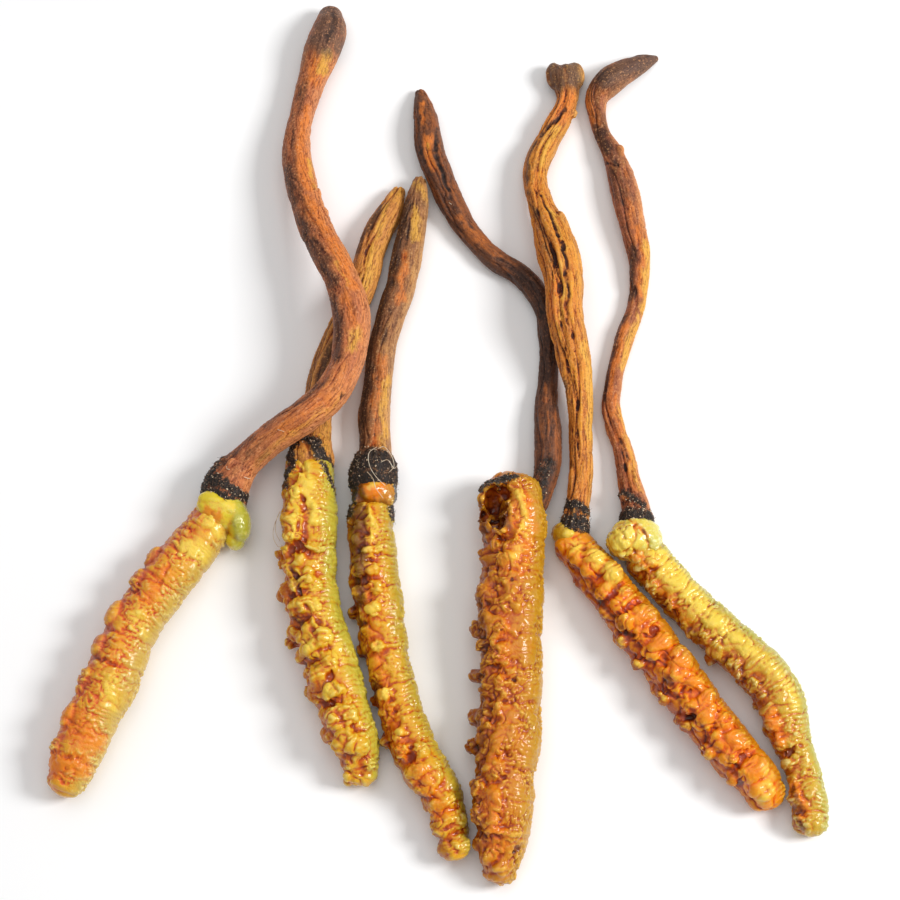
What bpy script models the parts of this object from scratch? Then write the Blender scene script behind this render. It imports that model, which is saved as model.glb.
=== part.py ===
"""A bundle of six dried cordyceps, lying side by side on a table.

Each specimen is a mummified larva, with rings, folds and feet, and the fungus stalk that
grew from its head. Stalk 1 lies across stalk 2, and stalk 5 lies across stalk 4.

+Y runs from the tails to the stalk tips, +X to the right, and the table is z = 0.
The lists of centrelines below are in millimetres, and the meshes are made in metres.
"""
import math

import bmesh
import bpy
import numpy as np
from mathutils import Matrix, Vector, noise

MM = 0.001

# The middle of the bundle, in the coordinates of the centrelines
LAYOUT_CENTRE = (-1.36, 2.39)

# Sizes that hold for every specimen
PIECE_GAP = 0.45
BODY_SINK = 0.36
STALK_SINK = 0.16
BODY_HEIGHT_SHARE = 0.95
SEGMENT_LENGTH = 3.5
SEGMENT_GROOVE = 0.22
SEGMENT_GROOVE_WIDTH = 0.45
FOOT_RADIUS = 0.75
FOOT_ROOT_RADIUS = 1.3
LUMP_SIZE = 2.4
FOLD_WIDTH = 0.16
FLAT_TOLERANCE = 0.02

# How far a tube's round end reaches, as a share of its radius, and how small its last ring is
END_REACH = 0.75
END_TIP = 0.02

# Resolution of the shapes before they are simplified, and the faces each keeps
PATH_STEP = 0.4
TUBE_SIDES = 40
CAP_RINGS = 6
FOOT_RINGS = 8
BALL_SEGMENTS = 32
BODY_VOXEL = 0.27
STALK_VOXEL = 0.22
HEAD_VOXEL = 0.22
CUT_VOXEL = 0.2
BODY_FACES = 1130
STALK_FACES = 410
HEAD_FACES = 160
SHARP_ANGLE = math.radians(50.0)

# Where each larva's folds start in the noise, a step apart
NOISE_STEP = Vector((7.3, 3.1, 5.7))

# Centrelines: x, y, radius, and how far the underside is lifted off the table
BODY_PATHS = {
    "body_1": [(-25.5, -8.6, 2.6, 0.0), (-28.6, -12.7, 2.8, 0.0), (-31.2, -16.1, 2.85, 0.0),
               (-33.7, -20.0, 2.8, 0.0), (-36.4, -27.1, 3.0, 0.0), (-37.9, -29.9, 2.85, 0.0),
               (-38.9, -32.6, 2.75, 0.0), (-39.8, -35.0, 2.6, 0.0), (-40.5, -36.8, 2.2, 0.0)],
    "body_2": [(-15.2, -2.8, 2.7, 0.0), (-15.3, -5.0, 2.95, 0.0), (-15.1, -10.8, 3.05, 0.0),
               (-15.0, -15.2, 2.85, 0.0), (-14.2, -19.6, 2.95, 0.0), (-12.4, -25.0, 2.9, 0.0),
               (-11.2, -29.2, 2.7, 0.0), (-9.9, -32.9, 2.5, 0.0), (-9.2, -35.8, 1.9, 0.0)],
    "body_3": [(-8.6, -7.6, 2.5, 0.0), (-8.5, -11.0, 2.65, 0.0), (-7.9, -16.3, 2.75, 0.0),
               (-7.2, -21.1, 2.6, 0.0), (-6.3, -25.4, 2.45, 0.0), (-5.1, -29.7, 2.45, 0.0),
               (-3.4, -34.0, 2.5, 0.0), (-0.9, -38.0, 2.3, 0.0), (0.4, -41.4, 1.75, 0.0),
               (0.7, -43.2, 1.5, 0.0)],
    "body_4": [(6.6, -5.9, 3.4, 0.0), (6.8, -8.6, 3.65, 0.0), (6.9, -12.0, 3.4, 0.0),
               (6.6, -17.5, 3.5, 0.0), (6.5, -28.2, 3.3, 0.0), (6.3, -32.5, 3.4, 0.0),
               (5.8, -36.0, 3.2, 0.0), (5.6, -38.8, 3.3, 0.0), (5.6, -41.9, 2.85, 0.0),
               (5.4, -44.4, 2.4, 0.0), (5.2, -46.0, 1.9, 0.0)],
    "body_5": [(13.2, -10.9, 2.1, 0.0), (15.3, -13.7, 2.4, 0.0), (19.9, -19.8, 2.7, 0.0),
               (23.8, -25.2, 2.8, 0.0), (28.0, -31.0, 2.7, 0.0), (30.2, -34.0, 2.65, 0.0),
               (32.3, -36.4, 2.5, 0.0), (33.4, -38.1, 2.1, 0.0)],
    "body_6": [(21.2, -12.6, 2.5, 0.0), (25.4, -17.5, 2.5, 0.0), (28.7, -20.7, 2.5, 0.0),
               (32.7, -24.6, 2.7, 0.0), (35.1, -27.8, 2.65, 0.0), (36.1, -32.1, 2.3, 0.0),
               (37.2, -34.9, 1.9, 0.0), (37.8, -38.2, 2.0, 0.0), (37.9, -41.1, 1.9, 0.0)],
}
STALK_PATHS = {
    "stalk_1": [(-13.7, 51.2, 1.4, 0.0), (-13.8, 49.4, 2.0, 0.0), (-14.4, 47.2, 2.1, 0.0),
                (-15.7, 42.9, 1.65, 0.4), (-16.9, 38.0, 1.42, 0.9), (-17.2, 33.0, 1.72, 1.2),
                (-16.1, 27.9, 1.8, 1.8), (-14.2, 22.8, 1.88, 2.8), (-11.9, 17.9, 1.95, 3.85),
                (-10.7, 13.2, 2.05, 4.05), (-11.1, 8.7, 1.88, 4.05), (-13.4, 4.2, 1.88, 4.1),
                (-15.7, 2.3, 1.88, 4.0), (-17.9, 1.0, 1.85, 3.1), (-20.4, -0.6, 1.8, 2.0),
                (-22.4, -2.3, 1.95, 1.1), (-24.0, -4.5, 2.45, 0.4), (-24.6, -6.2, 2.6, 0.2)],
    "stalk_2": [(-5.8, 29.9, 0.9, 0.0), (-6.5, 28.1, 1.35, 0.0), (-7.7, 25.6, 1.6, 0.0),
                (-8.6, 23.3, 1.62, 0.0), (-9.8, 18.6, 1.65, 0.0), (-10.7, 16.2, 1.65, 0.0),
                (-12.9, 11.6, 1.65, 0.0), (-14.2, 6.9, 1.7, 0.0), (-14.7, 2.4, 1.75, 0.0),
                (-15.0, 0.4, 2.05, 0.0), (-15.1, -1.5, 2.5, 0.0)],
    "stalk_3": [(-3.4, 30.9, 0.75, 0.8), (-3.6, 29.3, 1.15, 0.8), (-4.1, 25.7, 1.52, 0.6),
                (-4.7, 22.6, 1.72, 0.3), (-5.5, 18.5, 1.74, 0.0), (-6.7, 14.5, 1.62, 0.0),
                (-7.6, 11.0, 1.6, 0.0), (-7.9, 7.6, 1.62, 0.0), (-8.3, 3.5, 1.78, 0.0),
                (-8.2, -1.0, 1.9, 0.0), (-8.3, -2.6, 2.5, 0.0), (-8.3, -3.9, 2.65, 0.0)],
    "stalk_4": [(-3.4, 42.0, 0.65, 0.0), (-2.8, 38.5, 1.45, 0.0), (-2.1, 34.1, 1.62, 0.0),
                (-0.8, 30.8, 1.56, 0.0), (0.3, 28.1, 1.52, 0.0), (1.9, 25.3, 1.3, 0.0),
                (3.6, 23.3, 1.2, 0.0), (5.2, 21.7, 1.25, 0.0), (7.5, 20.2, 1.28, 0.0),
                (9.3, 18.2, 1.33, 0.0), (10.5, 15.8, 1.2, 0.0), (10.9, 12.9, 1.15, 0.0),
                (10.8, 7.4, 1.15, 0.0), (10.6, 4.9, 1.28, 0.0), (10.7, 1.9, 1.55, 0.0),
                (10.7, -0.7, 1.55, 0.1), (10.4, -3.5, 1.4, 0.5), (9.6, -6.2, 1.3, 1.2)],
    "stalk_5": [(13.1, 43.8, 1.7, 0.0), (13.3, 41.0, 1.32, 0.2), (12.5, 38.5, 1.4, 0.3),
                (11.1, 36.0, 1.46, 0.3), (10.1, 33.7, 1.5, 0.5), (9.6, 30.7, 1.4, 0.9),
                (10.1, 27.5, 1.6, 1.3), (11.2, 24.2, 2.05, 1.4), (12.1, 21.3, 2.35, 1.7),
                (12.6, 17.9, 2.15, 2.2), (12.6, 14.2, 2.15, 2.3), (13.4, 10.0, 1.88, 2.1),
                (14.0, 6.7, 1.6, 1.7), (14.2, 0.5, 1.4, 0.7), (14.1, -4.7, 1.42, 0.3),
                (13.6, -7.8, 1.5, 0.3), (13.5, -9.4, 1.8, 0.3)],
    "stalk_6": [(23.6, 46.4, 0.42, 0.0), (22.1, 45.6, 1.02, 0.0), (19.9, 44.3, 1.5, 0.0),
                (18.0, 42.9, 1.68, 0.0), (16.7, 41.3, 1.4, 0.0), (16.8, 38.9, 1.0, 0.2),
                (17.3, 36.8, 0.96, 0.3), (18.4, 34.2, 1.25, 0.2), (19.3, 31.3, 1.56, 0.0),
                (20.5, 25.4, 1.52, 0.0), (21.1, 22.2, 1.38, 0.0), (21.1, 19.4, 1.15, 0.0),
                (20.6, 15.9, 0.98, 0.0), (19.6, 13.2, 1.02, 0.0), (18.0, 7.1, 1.02, 0.0),
                (17.7, 4.8, 1.05, 0.0), (18.1, 2.6, 1.08, 0.0), (18.8, 0.3, 1.14, 0.1),
                (19.6, -4.6, 1.36, 0.4), (20.1, -6.8, 1.5, 0.6), (20.2, -8.6, 2.0, 0.5)],
}

# Head capsules: centre x, y, z, then the radii across, along and up, and the turn about z
HEADS = {
    "head_1": ((-24.7, -7.4, 2.5), (2.9, 2.1, 2.55), -22.0),
    "head_3": ((-8.2, -5.3, 2.3), (2.45, 1.9, 2.35), -12.0),
    "head_5": ((12.4, -10.0, 1.7), (1.5, 1.35, 1.7), -30.0),
    "head_6": ((19.9, -10.6, 2.6), (3.3, 2.6, 2.65), 8.0),
}
HEAD_1_JAW = ((-23.7, -9.6, 2.0), (0.95, 0.95, 0.95), 0.0)

# Outermost points of the feet: x, y, z
FEET = {
    "body_1": [],
    "body_2": [(-18.9, -12.0, 1.7), (-18.6, -16.9, 1.7), (-17.6, -22.0, 1.6), (-15.7, -27.0, 1.4),
               (-11.2, -36.5, 0.9)],
    "body_3": [(-11.0, -18.5, 1.3), (-10.0, -22.9, 1.3), (-8.7, -28.2, 1.2), (-7.4, -32.5, 1.2),
               (-1.3, -43.3, 0.9)],
    "body_4": [(2.1, -20.5, 2.0), (1.9, -25.4, 2.0), (1.8, -29.9, 2.0), (1.5, -32.9, 2.0),
               (3.3, -45.7, 1.2)],
    "body_5": [(13.3, -15.6, 1.4), (17.5, -21.7, 1.4), (20.0, -24.6, 1.4), (21.6, -27.3, 1.4),
               (23.7, -30.6, 1.4), (26.3, -33.7, 1.4), (29.2, -36.6, 1.3), (31.4, -38.8, 1.2)],
    "body_6": [(27.3, -24.1, 1.5), (30.4, -26.3, 1.5), (32.2, -28.8, 1.5), (33.1, -31.4, 1.4)],
}

# How deep the folds of each body go, as a share of its radius
FOLD_DEPTHS = {"body_1": 0.04, "body_2": 0.07, "body_3": 0.07, "body_4": 0.04, "body_5": 0.10, "body_6": 0.05}

# The torn-open head of the thickest larva, and the two lobes at the top of stalk 5
BODY_4_HOLLOW = ((4.9, -7.4, 5.2), (1.5, 1.9, 2.3), 12.0)
STALK_5_LOBES = [((12.1, 44.3, 1.3), (1.25, 1.35, 1.3), 0.0), ((13.9, 44.2, 1.4), (1.45, 1.45, 1.4), 0.0)]

# What each piece grows from, and so is cut back from
CUT_BACK = {
    "body_1": ["head_1"], "body_3": ["head_3"], "body_5": ["head_5"], "body_6": ["head_6"],
    "stalk_1": ["head_1", "body_1"], "stalk_2": ["body_2"], "stalk_3": ["head_3", "body_3"],
    "stalk_4": ["body_4"], "stalk_5": ["head_5", "body_5"], "stalk_6": ["head_6", "body_6"],
}

COLOURS = {
    "body_1": (0.62, 0.33, 0.06), "body_2": (0.62, 0.38, 0.05), "body_3": (0.52, 0.23, 0.03),
    "body_4": (0.60, 0.27, 0.03), "body_5": (0.60, 0.22, 0.02), "body_6": (0.64, 0.42, 0.08),
    "head_1": (0.48, 0.40, 0.05), "head_3": (0.42, 0.18, 0.03), "head_5": (0.40, 0.26, 0.04),
    "head_6": (0.60, 0.45, 0.10), "stalk_1": (0.38, 0.15, 0.06), "stalk_2": (0.45, 0.23, 0.08),
    "stalk_3": (0.35, 0.19, 0.08), "stalk_4": (0.09, 0.04, 0.02), "stalk_5": (0.48, 0.25, 0.06),
    "stalk_6": (0.36, 0.14, 0.06),
}
HEAD_ROUGHNESS = 0.25
BODY_ROUGHNESS = 0.5
STALK_ROUGHNESS = 0.65


def clear_scene():
    """Remove whatever the file holds."""
    for item in list(bpy.data.objects):
        bpy.data.objects.remove(item, do_unlink=True)


def smooth_path(points):
    """Points at even steps on a smooth curve through a centreline, with radius and lift."""
    points = np.array(points, dtype=float)
    steps = np.linalg.norm(np.diff(points[:, :2], axis=0), axis=1)
    reach = np.concatenate([[0.0], np.cumsum(steps)])
    slopes = np.gradient(points, reach, axis=0)
    places = np.linspace(0.0, reach[-1], int(round(reach[-1] / PATH_STEP)) + 1)
    left = np.clip(np.searchsorted(reach, places, side="right") - 1, 0, len(points) - 2)
    span = reach[left + 1] - reach[left]
    part = ((places - reach[left]) / span)[:, None]
    span = span[:, None]
    return ((2 * part ** 3 - 3 * part ** 2 + 1) * points[left]
            + (part ** 3 - 2 * part ** 2 + part) * span * slopes[left]
            + (3 * part ** 2 - 2 * part ** 3) * points[left + 1]
            + (part ** 3 - part ** 2) * span * slopes[left + 1])


def ring_tube(centres, sides, ups, radii_across, radii_up):
    """Vertices and faces of a closed tube with rounded ends, one ring of vertices a centre."""
    angles = np.linspace(0.0, 2.0 * math.pi, TUBE_SIDES, endpoint=False)
    rings = []
    for centre, side, up, across, high in zip(centres, sides, ups, radii_across, radii_up):
        ring = centre + np.outer(np.cos(angles) * across, side) + np.outer(np.sin(angles) * high, up)
        rings.append(ring)
    faces = []
    for ring in range(len(rings) - 1):
        for k in range(TUBE_SIDES):
            after = (k + 1) % TUBE_SIDES
            low = ring * TUBE_SIDES
            high = low + TUBE_SIDES
            faces.append((low + k, low + after, high + after, high + k))
    first = len(rings) * TUBE_SIDES
    last = first + 1
    top = (len(rings) - 1) * TUBE_SIDES
    for k in range(TUBE_SIDES):
        after = (k + 1) % TUBE_SIDES
        faces.append((first, after, k))
        faces.append((last, top + k, top + after))
    vertices = np.vstack(rings + [centres[0], centres[-1]])
    return vertices, faces


def round_ends(centres, tangents, radii, extra):
    """Extra centres past both ends, with shrinking radii, so that the tube ends are domes."""
    turns = np.linspace(0.0, 0.5 * math.pi, CAP_RINGS + 1)[1:]
    out = np.sin(turns)
    shrink = np.maximum(np.cos(turns), END_TIP)
    heads = centres[0] - np.outer(out[::-1], tangents[0]) * (END_REACH * radii[0] + extra)
    head_radii = radii[0] * shrink[::-1]
    tails = centres[-1] + np.outer(out, tangents[-1]) * (END_REACH * radii[-1] + extra)
    tail_radii = radii[-1] * shrink
    all_tangents = np.vstack([[tangents[0]] * CAP_RINGS, tangents, [tangents[-1]] * CAP_RINGS])
    return np.vstack([heads, centres, tails]), all_tangents, np.concatenate([head_radii, radii, tail_radii])


def swept_tube(path, sink, height_share, extra, grooves=False):
    """A tube along a centreline that rests sink below its own underside."""
    across = path[:, 2]
    heights = path[:, 3] + across * height_share - sink
    centres = np.column_stack([path[:, 0], path[:, 1], heights])
    tangents = np.gradient(centres, axis=0)
    tangents /= np.linalg.norm(tangents, axis=1)[:, None]
    radii = across.copy()
    if grooves:
        places = np.arange(len(path)) * PATH_STEP
        from_groove = np.abs((places + 0.5 * SEGMENT_LENGTH) % SEGMENT_LENGTH - 0.5 * SEGMENT_LENGTH)
        radii -= SEGMENT_GROOVE * np.exp(-(from_groove / SEGMENT_GROOVE_WIDTH) ** 2)
    centres, tangents, radii = round_ends(centres, tangents, radii, extra)
    sides = np.cross(tangents, (0.0, 0.0, 1.0))
    sides /= np.linalg.norm(sides, axis=1)[:, None]
    ups = np.cross(sides, tangents)
    return ring_tube(centres, sides, ups, radii + extra, radii * height_share + extra)


def ball(centre, radii, turn, extra=0.0):
    """Vertices and faces of an ellipsoid, turned about z."""
    shape = bmesh.new()
    bmesh.ops.create_uvsphere(shape, u_segments=BALL_SEGMENTS, v_segments=BALL_SEGMENTS // 2, radius=1.0)
    stretch = Matrix.Diagonal([radius + extra for radius in radii]).to_4x4()
    spin = Matrix.Rotation(math.radians(turn), 4, "Z")
    bmesh.ops.transform(shape, matrix=Matrix.Translation(centre) @ spin @ stretch, verts=shape.verts)
    shape.verts.index_update()
    vertices = np.array([tuple(vertex.co) for vertex in shape.verts])
    faces = [tuple(vertex.index for vertex in face.verts) for face in shape.faces]
    shape.free()
    return vertices, faces


def foot(path, tip, extra):
    """A blunt foot from the larva's centreline out to its tip."""
    tip = np.array(tip)
    nearest = path[np.argmin(np.linalg.norm(path[:, :2] - tip[:2], axis=1))]
    root = np.array([nearest[0], nearest[1], nearest[2] * BODY_HEIGHT_SHARE])
    along = tip - root
    reach = np.linalg.norm(along)
    along /= reach
    places = np.linspace(0.0, reach - FOOT_RADIUS * END_REACH, FOOT_RINGS)
    centres = root + np.outer(places, along)
    radii = np.linspace(FOOT_ROOT_RADIUS, FOOT_RADIUS, len(places))
    tangents = np.repeat([along], len(places), axis=0)
    centres, tangents, radii = round_ends(centres, tangents, radii, extra)
    side = np.cross(along, (0.0, 0.0, 1.0))
    side /= np.linalg.norm(side)
    up = np.cross(side, along)
    sides = np.repeat([side], len(centres), axis=0)
    ups = np.repeat([up], len(centres), axis=0)
    return ring_tube(centres, sides, ups, radii + extra, radii + extra)


def evaluated_copy(item):
    """The object's mesh with its modifiers applied."""
    bpy.context.view_layer.update()
    depsgraph = bpy.context.evaluated_depsgraph_get()
    return bpy.data.meshes.new_from_object(item.evaluated_get(depsgraph))


def even_skin(item, voxel):
    """Give the object one closed skin of even small faces."""
    remesh = item.modifiers.new("Skin", "REMESH")
    remesh.mode = "VOXEL"
    remesh.voxel_size = voxel
    item.data = evaluated_copy(item)
    item.modifiers.clear()


def fused(name, shells, voxel):
    """One closed mesh object made of overlapping closed shells, still in millimetres."""
    vertices = []
    faces = []
    for shell_vertices, shell_faces in shells:
        start = len(vertices)
        moved = shell_vertices - np.array([LAYOUT_CENTRE[0], LAYOUT_CENTRE[1], 0.0])
        vertices.extend(moved.tolist())
        faces.extend(tuple(corner + start for corner in face) for face in shell_faces)
    mesh = bpy.data.meshes.new(name)
    mesh.from_pydata(vertices, [], faces)
    item = bpy.data.objects.new(name, mesh)
    bpy.context.collection.objects.link(item)
    even_skin(item, voxel)
    return item


def read_points(mesh):
    """The mesh's vertices as an array."""
    points = np.empty(len(mesh.vertices) * 3)
    mesh.vertices.foreach_get("co", points)
    return points.reshape(-1, 3)


def rest_on_table(mesh):
    """Flatten what lies below the table, so that the piece rests on a real flat face."""
    points = read_points(mesh)
    points[:, 2] = np.where(points[:, 2] < FLAT_TOLERANCE, 0.0, points[:, 2])
    mesh.vertices.foreach_set("co", points.ravel())
    mesh.update()


def press_folds(mesh, depth, seed):
    """Push the skin in between rounded lumps."""
    points = read_points(mesh)
    normals = np.empty(len(points) * 3)
    mesh.vertices.foreach_get("normal", normals)
    normals = normals.reshape(-1, 3)
    offset = NOISE_STEP * seed
    for index, point in enumerate(points):
        place = Vector(point / LUMP_SIZE) + offset
        lump = abs(noise.noise(place))
        points[index] = point - normals[index] * depth * math.exp(-(lump / FOLD_WIDTH) ** 2)
    mesh.vertices.foreach_set("co", points.ravel())
    mesh.update()


def simplify(item, faces):
    """Bring the mesh down to a number of triangles, keeping its form."""
    item.data.calc_loop_triangles()
    collapse = item.modifiers.new("Simplify", "DECIMATE")
    collapse.ratio = min(1.0, faces / len(item.data.loop_triangles))
    collapse.use_collapse_triangulate = True
    item.data = evaluated_copy(item)
    item.modifiers.clear()


def body_shells(name, extra=0.0):
    """The closed shapes that make up a larva."""
    path = smooth_path(BODY_PATHS[name])
    shells = [swept_tube(path, BODY_SINK, BODY_HEIGHT_SHARE, extra, grooves=True)]
    for tip in FEET[name]:
        shells.append(foot(path, tip, extra))
    return shells


def head_shells(name, extra=0.0):
    """The closed shapes that make up a head capsule."""
    shells = [ball(*HEADS[name], extra=extra)]
    if name == "head_1":
        shells.append(ball(*HEAD_1_JAW, extra=extra))
    return shells


def stalk_shells(name):
    """The closed shapes that make up a stalk."""
    shells = [swept_tube(smooth_path(STALK_PATHS[name]), STALK_SINK, 1.0, 0.0)]
    if name == "stalk_5":
        shells.extend(ball(*lobe) for lobe in STALK_5_LOBES)
    return shells


def guide_shells(name):
    """A piece's shapes, larger by the gap that its neighbours keep to it."""
    if name in HEADS:
        return head_shells(name, PIECE_GAP)
    return body_shells(name, PIECE_GAP)


def cut_away(item, shells):
    """Cut closed shapes out of a piece."""
    if not shells:
        return
    cutter = fused("cutter", shells, BODY_VOXEL)
    cutter.hide_render = True
    cutter.display_type = "WIRE"
    cut = item.modifiers.new("Cut", "BOOLEAN")
    cut.operation = "DIFFERENCE"
    cut.solver = "EXACT"
    cut.object = cutter
    item.data = evaluated_copy(item)
    item.modifiers.clear()
    bpy.data.objects.remove(cutter, do_unlink=True)
    even_skin(item, CUT_VOXEL)


def finish(item, colour, roughness, anchor):
    """Bring the piece to metres, shade it, give it its material and hang it on its specimen's empty."""
    points = read_points(item.data) * MM
    points -= np.array(anchor.location)
    item.data.vertices.foreach_set("co", points.ravel())
    item.data.update()
    item.data.name = item.name
    item.data.shade_smooth()
    item.data.set_sharp_from_angle(angle=SHARP_ANGLE)
    item.parent = anchor
    material = bpy.data.materials.new(item.name + "_surface")
    material.use_nodes = True
    shader = material.node_tree.nodes["Principled BSDF"]
    shader.inputs["Base Color"].default_value = (*colour, 1.0)
    shader.inputs["Roughness"].default_value = roughness
    shader.inputs["Metallic"].default_value = 0.0
    item.data.materials.clear()
    item.data.materials.append(material)


def make_anchor(number):
    """An empty on the table, at the head end of one larva."""
    anchor = bpy.data.objects.new("specimen_%d" % number, None)
    x, y = BODY_PATHS["body_%d" % number][0][:2]
    anchor.location = ((x - LAYOUT_CENTRE[0]) * MM, (y - LAYOUT_CENTRE[1]) * MM, 0.0)
    bpy.context.collection.objects.link(anchor)
    return anchor


def build_body(name):
    """A larva with rings, folds and feet."""
    number = int(name[-1])
    body = fused(name, body_shells(name), BODY_VOXEL)
    radius = max(point[2] for point in BODY_PATHS[name])
    press_folds(body.data, FOLD_DEPTHS[name] * radius, number)
    cuts = [shell for other in CUT_BACK.get(name, []) for shell in guide_shells(other)]
    if name == "body_4":
        cuts.append(ball(*BODY_4_HOLLOW))
    cut_away(body, cuts)
    rest_on_table(body.data)
    simplify(body, BODY_FACES)
    rest_on_table(body.data)
    return body


def build_stalk(name):
    """A stalk with its collar, cut back from what it grows from."""
    stalk = fused(name, stalk_shells(name), STALK_VOXEL)
    cut_away(stalk, [shell for other in CUT_BACK[name] for shell in guide_shells(other)])
    rest_on_table(stalk.data)
    simplify(stalk, STALK_FACES)
    rest_on_table(stalk.data)
    return stalk


def build_head(name):
    """A smooth head capsule."""
    head = fused(name, head_shells(name), HEAD_VOXEL)
    rest_on_table(head.data)
    simplify(head, HEAD_FACES)
    rest_on_table(head.data)
    return head


def main():
    """Build the six specimens."""
    clear_scene()
    anchors = {number: make_anchor(number) for number in range(1, len(BODY_PATHS) + 1)}
    for name in BODY_PATHS:
        finish(build_body(name), COLOURS[name], BODY_ROUGHNESS, anchors[int(name[-1])])
    for name in HEADS:
        finish(build_head(name), COLOURS[name], HEAD_ROUGHNESS, anchors[int(name[-1])])
    for name in STALK_PATHS:
        finish(build_stalk(name), COLOURS[name], STALK_ROUGHNESS, anchors[int(name[-1])])


main()
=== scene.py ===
"""The looks of six dried cordyceps that lie side by side on a pale table.

Each specimen is a mummified larva with a fungus stalk grown from its head. A skin is made in
millimetres from overlapping closed shapes, grown over with lumps, creases and rings by a node
tree, and brought to metres. Marks listed along each piece press, raise and stain it, and paint
light and shade on it.

A place on a piece is given as "along", in millimetres from the first point of its centreline, and
"across", which is 1 on its left edge and -1 on its right edge as seen from above the tails.
"""

import math

import bmesh
import bpy
import numpy as np
from bpy.props import FloatProperty, FloatVectorProperty, IntProperty, PointerProperty
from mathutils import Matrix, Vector


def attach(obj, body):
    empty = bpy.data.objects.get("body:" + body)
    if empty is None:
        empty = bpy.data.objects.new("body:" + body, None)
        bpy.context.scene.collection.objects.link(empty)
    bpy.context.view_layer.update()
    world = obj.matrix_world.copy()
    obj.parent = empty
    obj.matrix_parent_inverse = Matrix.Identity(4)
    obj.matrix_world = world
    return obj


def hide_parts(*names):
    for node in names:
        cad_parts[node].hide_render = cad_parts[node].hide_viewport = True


bl_info = {
    "name": "Cordyceps bundle",
    "version": (1, 0, 0),
    "blender": (4, 5, 0),
    "location": "3D View > Sidebar > Cordyceps",
    "description": "Builds six dried cordyceps with their wrinkled skins, stalks and soil crusts",
    "category": "Add Mesh",
}

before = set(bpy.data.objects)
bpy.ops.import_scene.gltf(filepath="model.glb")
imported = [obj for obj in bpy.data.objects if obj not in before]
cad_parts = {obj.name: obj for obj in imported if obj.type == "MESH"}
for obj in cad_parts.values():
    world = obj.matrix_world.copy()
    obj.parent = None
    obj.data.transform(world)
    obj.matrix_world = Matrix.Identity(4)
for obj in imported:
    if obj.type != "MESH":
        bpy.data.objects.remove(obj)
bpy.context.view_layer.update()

MM = 0.001

# The middle of the bundle, in the coordinates of the centrelines
LAYOUT_CENTRE = (-1.36, 2.39)

# How far the undersides are pressed flat by the table, and how high a larva is for its width
BODY_SINK = 0.36
STALK_SINK = 0.16
BODY_HEIGHT_SHARE = 0.95

# Centrelines: x, y, radius, and how far the underside is lifted off the table
BODY_PATHS = {
    1: [(-25.5, -8.6, 2.6, 0.0), (-28.6, -12.7, 2.8, 0.0), (-31.2, -16.1, 2.85, 0.0),
        (-33.7, -20.0, 2.8, 0.0), (-36.4, -27.1, 3.0, 0.0), (-37.9, -29.9, 2.85, 0.0),
        (-38.9, -32.6, 2.75, 0.0), (-39.8, -35.0, 2.6, 0.0), (-40.5, -36.8, 2.2, 0.0)],
    2: [(-15.2, -2.8, 2.7, 0.0), (-15.3, -5.0, 2.95, 0.0), (-15.1, -10.8, 3.05, 0.0),
        (-15.0, -15.2, 2.85, 0.0), (-14.2, -19.6, 2.95, 0.0), (-12.4, -25.0, 2.9, 0.0),
        (-11.2, -29.2, 2.7, 0.0), (-9.9, -32.9, 2.5, 0.0), (-9.2, -35.8, 1.9, 0.0)],
    3: [(-8.6, -7.6, 2.5, 0.0), (-8.5, -11.0, 2.65, 0.0), (-7.9, -16.3, 2.75, 0.0),
        (-7.2, -21.1, 2.6, 0.0), (-6.3, -25.4, 2.45, 0.0), (-5.1, -29.7, 2.45, 0.0),
        (-3.4, -34.0, 2.5, 0.0), (-0.9, -38.0, 2.3, 0.0), (0.4, -41.4, 1.75, 0.0),
        (0.7, -43.2, 1.5, 0.0)],
    4: [(6.6, -5.9, 3.4, 0.0), (6.8, -8.6, 3.65, 0.0), (6.9, -12.0, 3.4, 0.0),
        (6.6, -17.5, 3.5, 0.0), (6.5, -28.2, 3.3, 0.0), (6.3, -32.5, 3.4, 0.0),
        (5.8, -36.0, 3.2, 0.0), (5.6, -38.8, 3.3, 0.0), (5.6, -41.9, 2.85, 0.0),
        (5.4, -44.4, 2.4, 0.0), (5.2, -46.0, 1.9, 0.0)],
    5: [(13.2, -10.9, 2.1, 0.0), (15.3, -13.7, 2.4, 0.0), (19.9, -19.8, 2.7, 0.0),
        (23.8, -25.2, 2.8, 0.0), (28.0, -31.0, 2.7, 0.0), (30.2, -34.0, 2.65, 0.0),
        (32.3, -36.4, 2.5, 0.0), (33.4, -38.1, 2.1, 0.0)],
    6: [(21.2, -12.6, 2.5, 0.0), (25.4, -17.5, 2.5, 0.0), (28.7, -20.7, 2.5, 0.0),
        (32.7, -24.6, 2.7, 0.0), (35.1, -27.8, 2.65, 0.0), (36.1, -32.1, 2.3, 0.0),
        (37.2, -34.9, 1.9, 0.0), (37.8, -38.2, 2.0, 0.0), (37.9, -41.1, 1.9, 0.0)],
}
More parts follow.
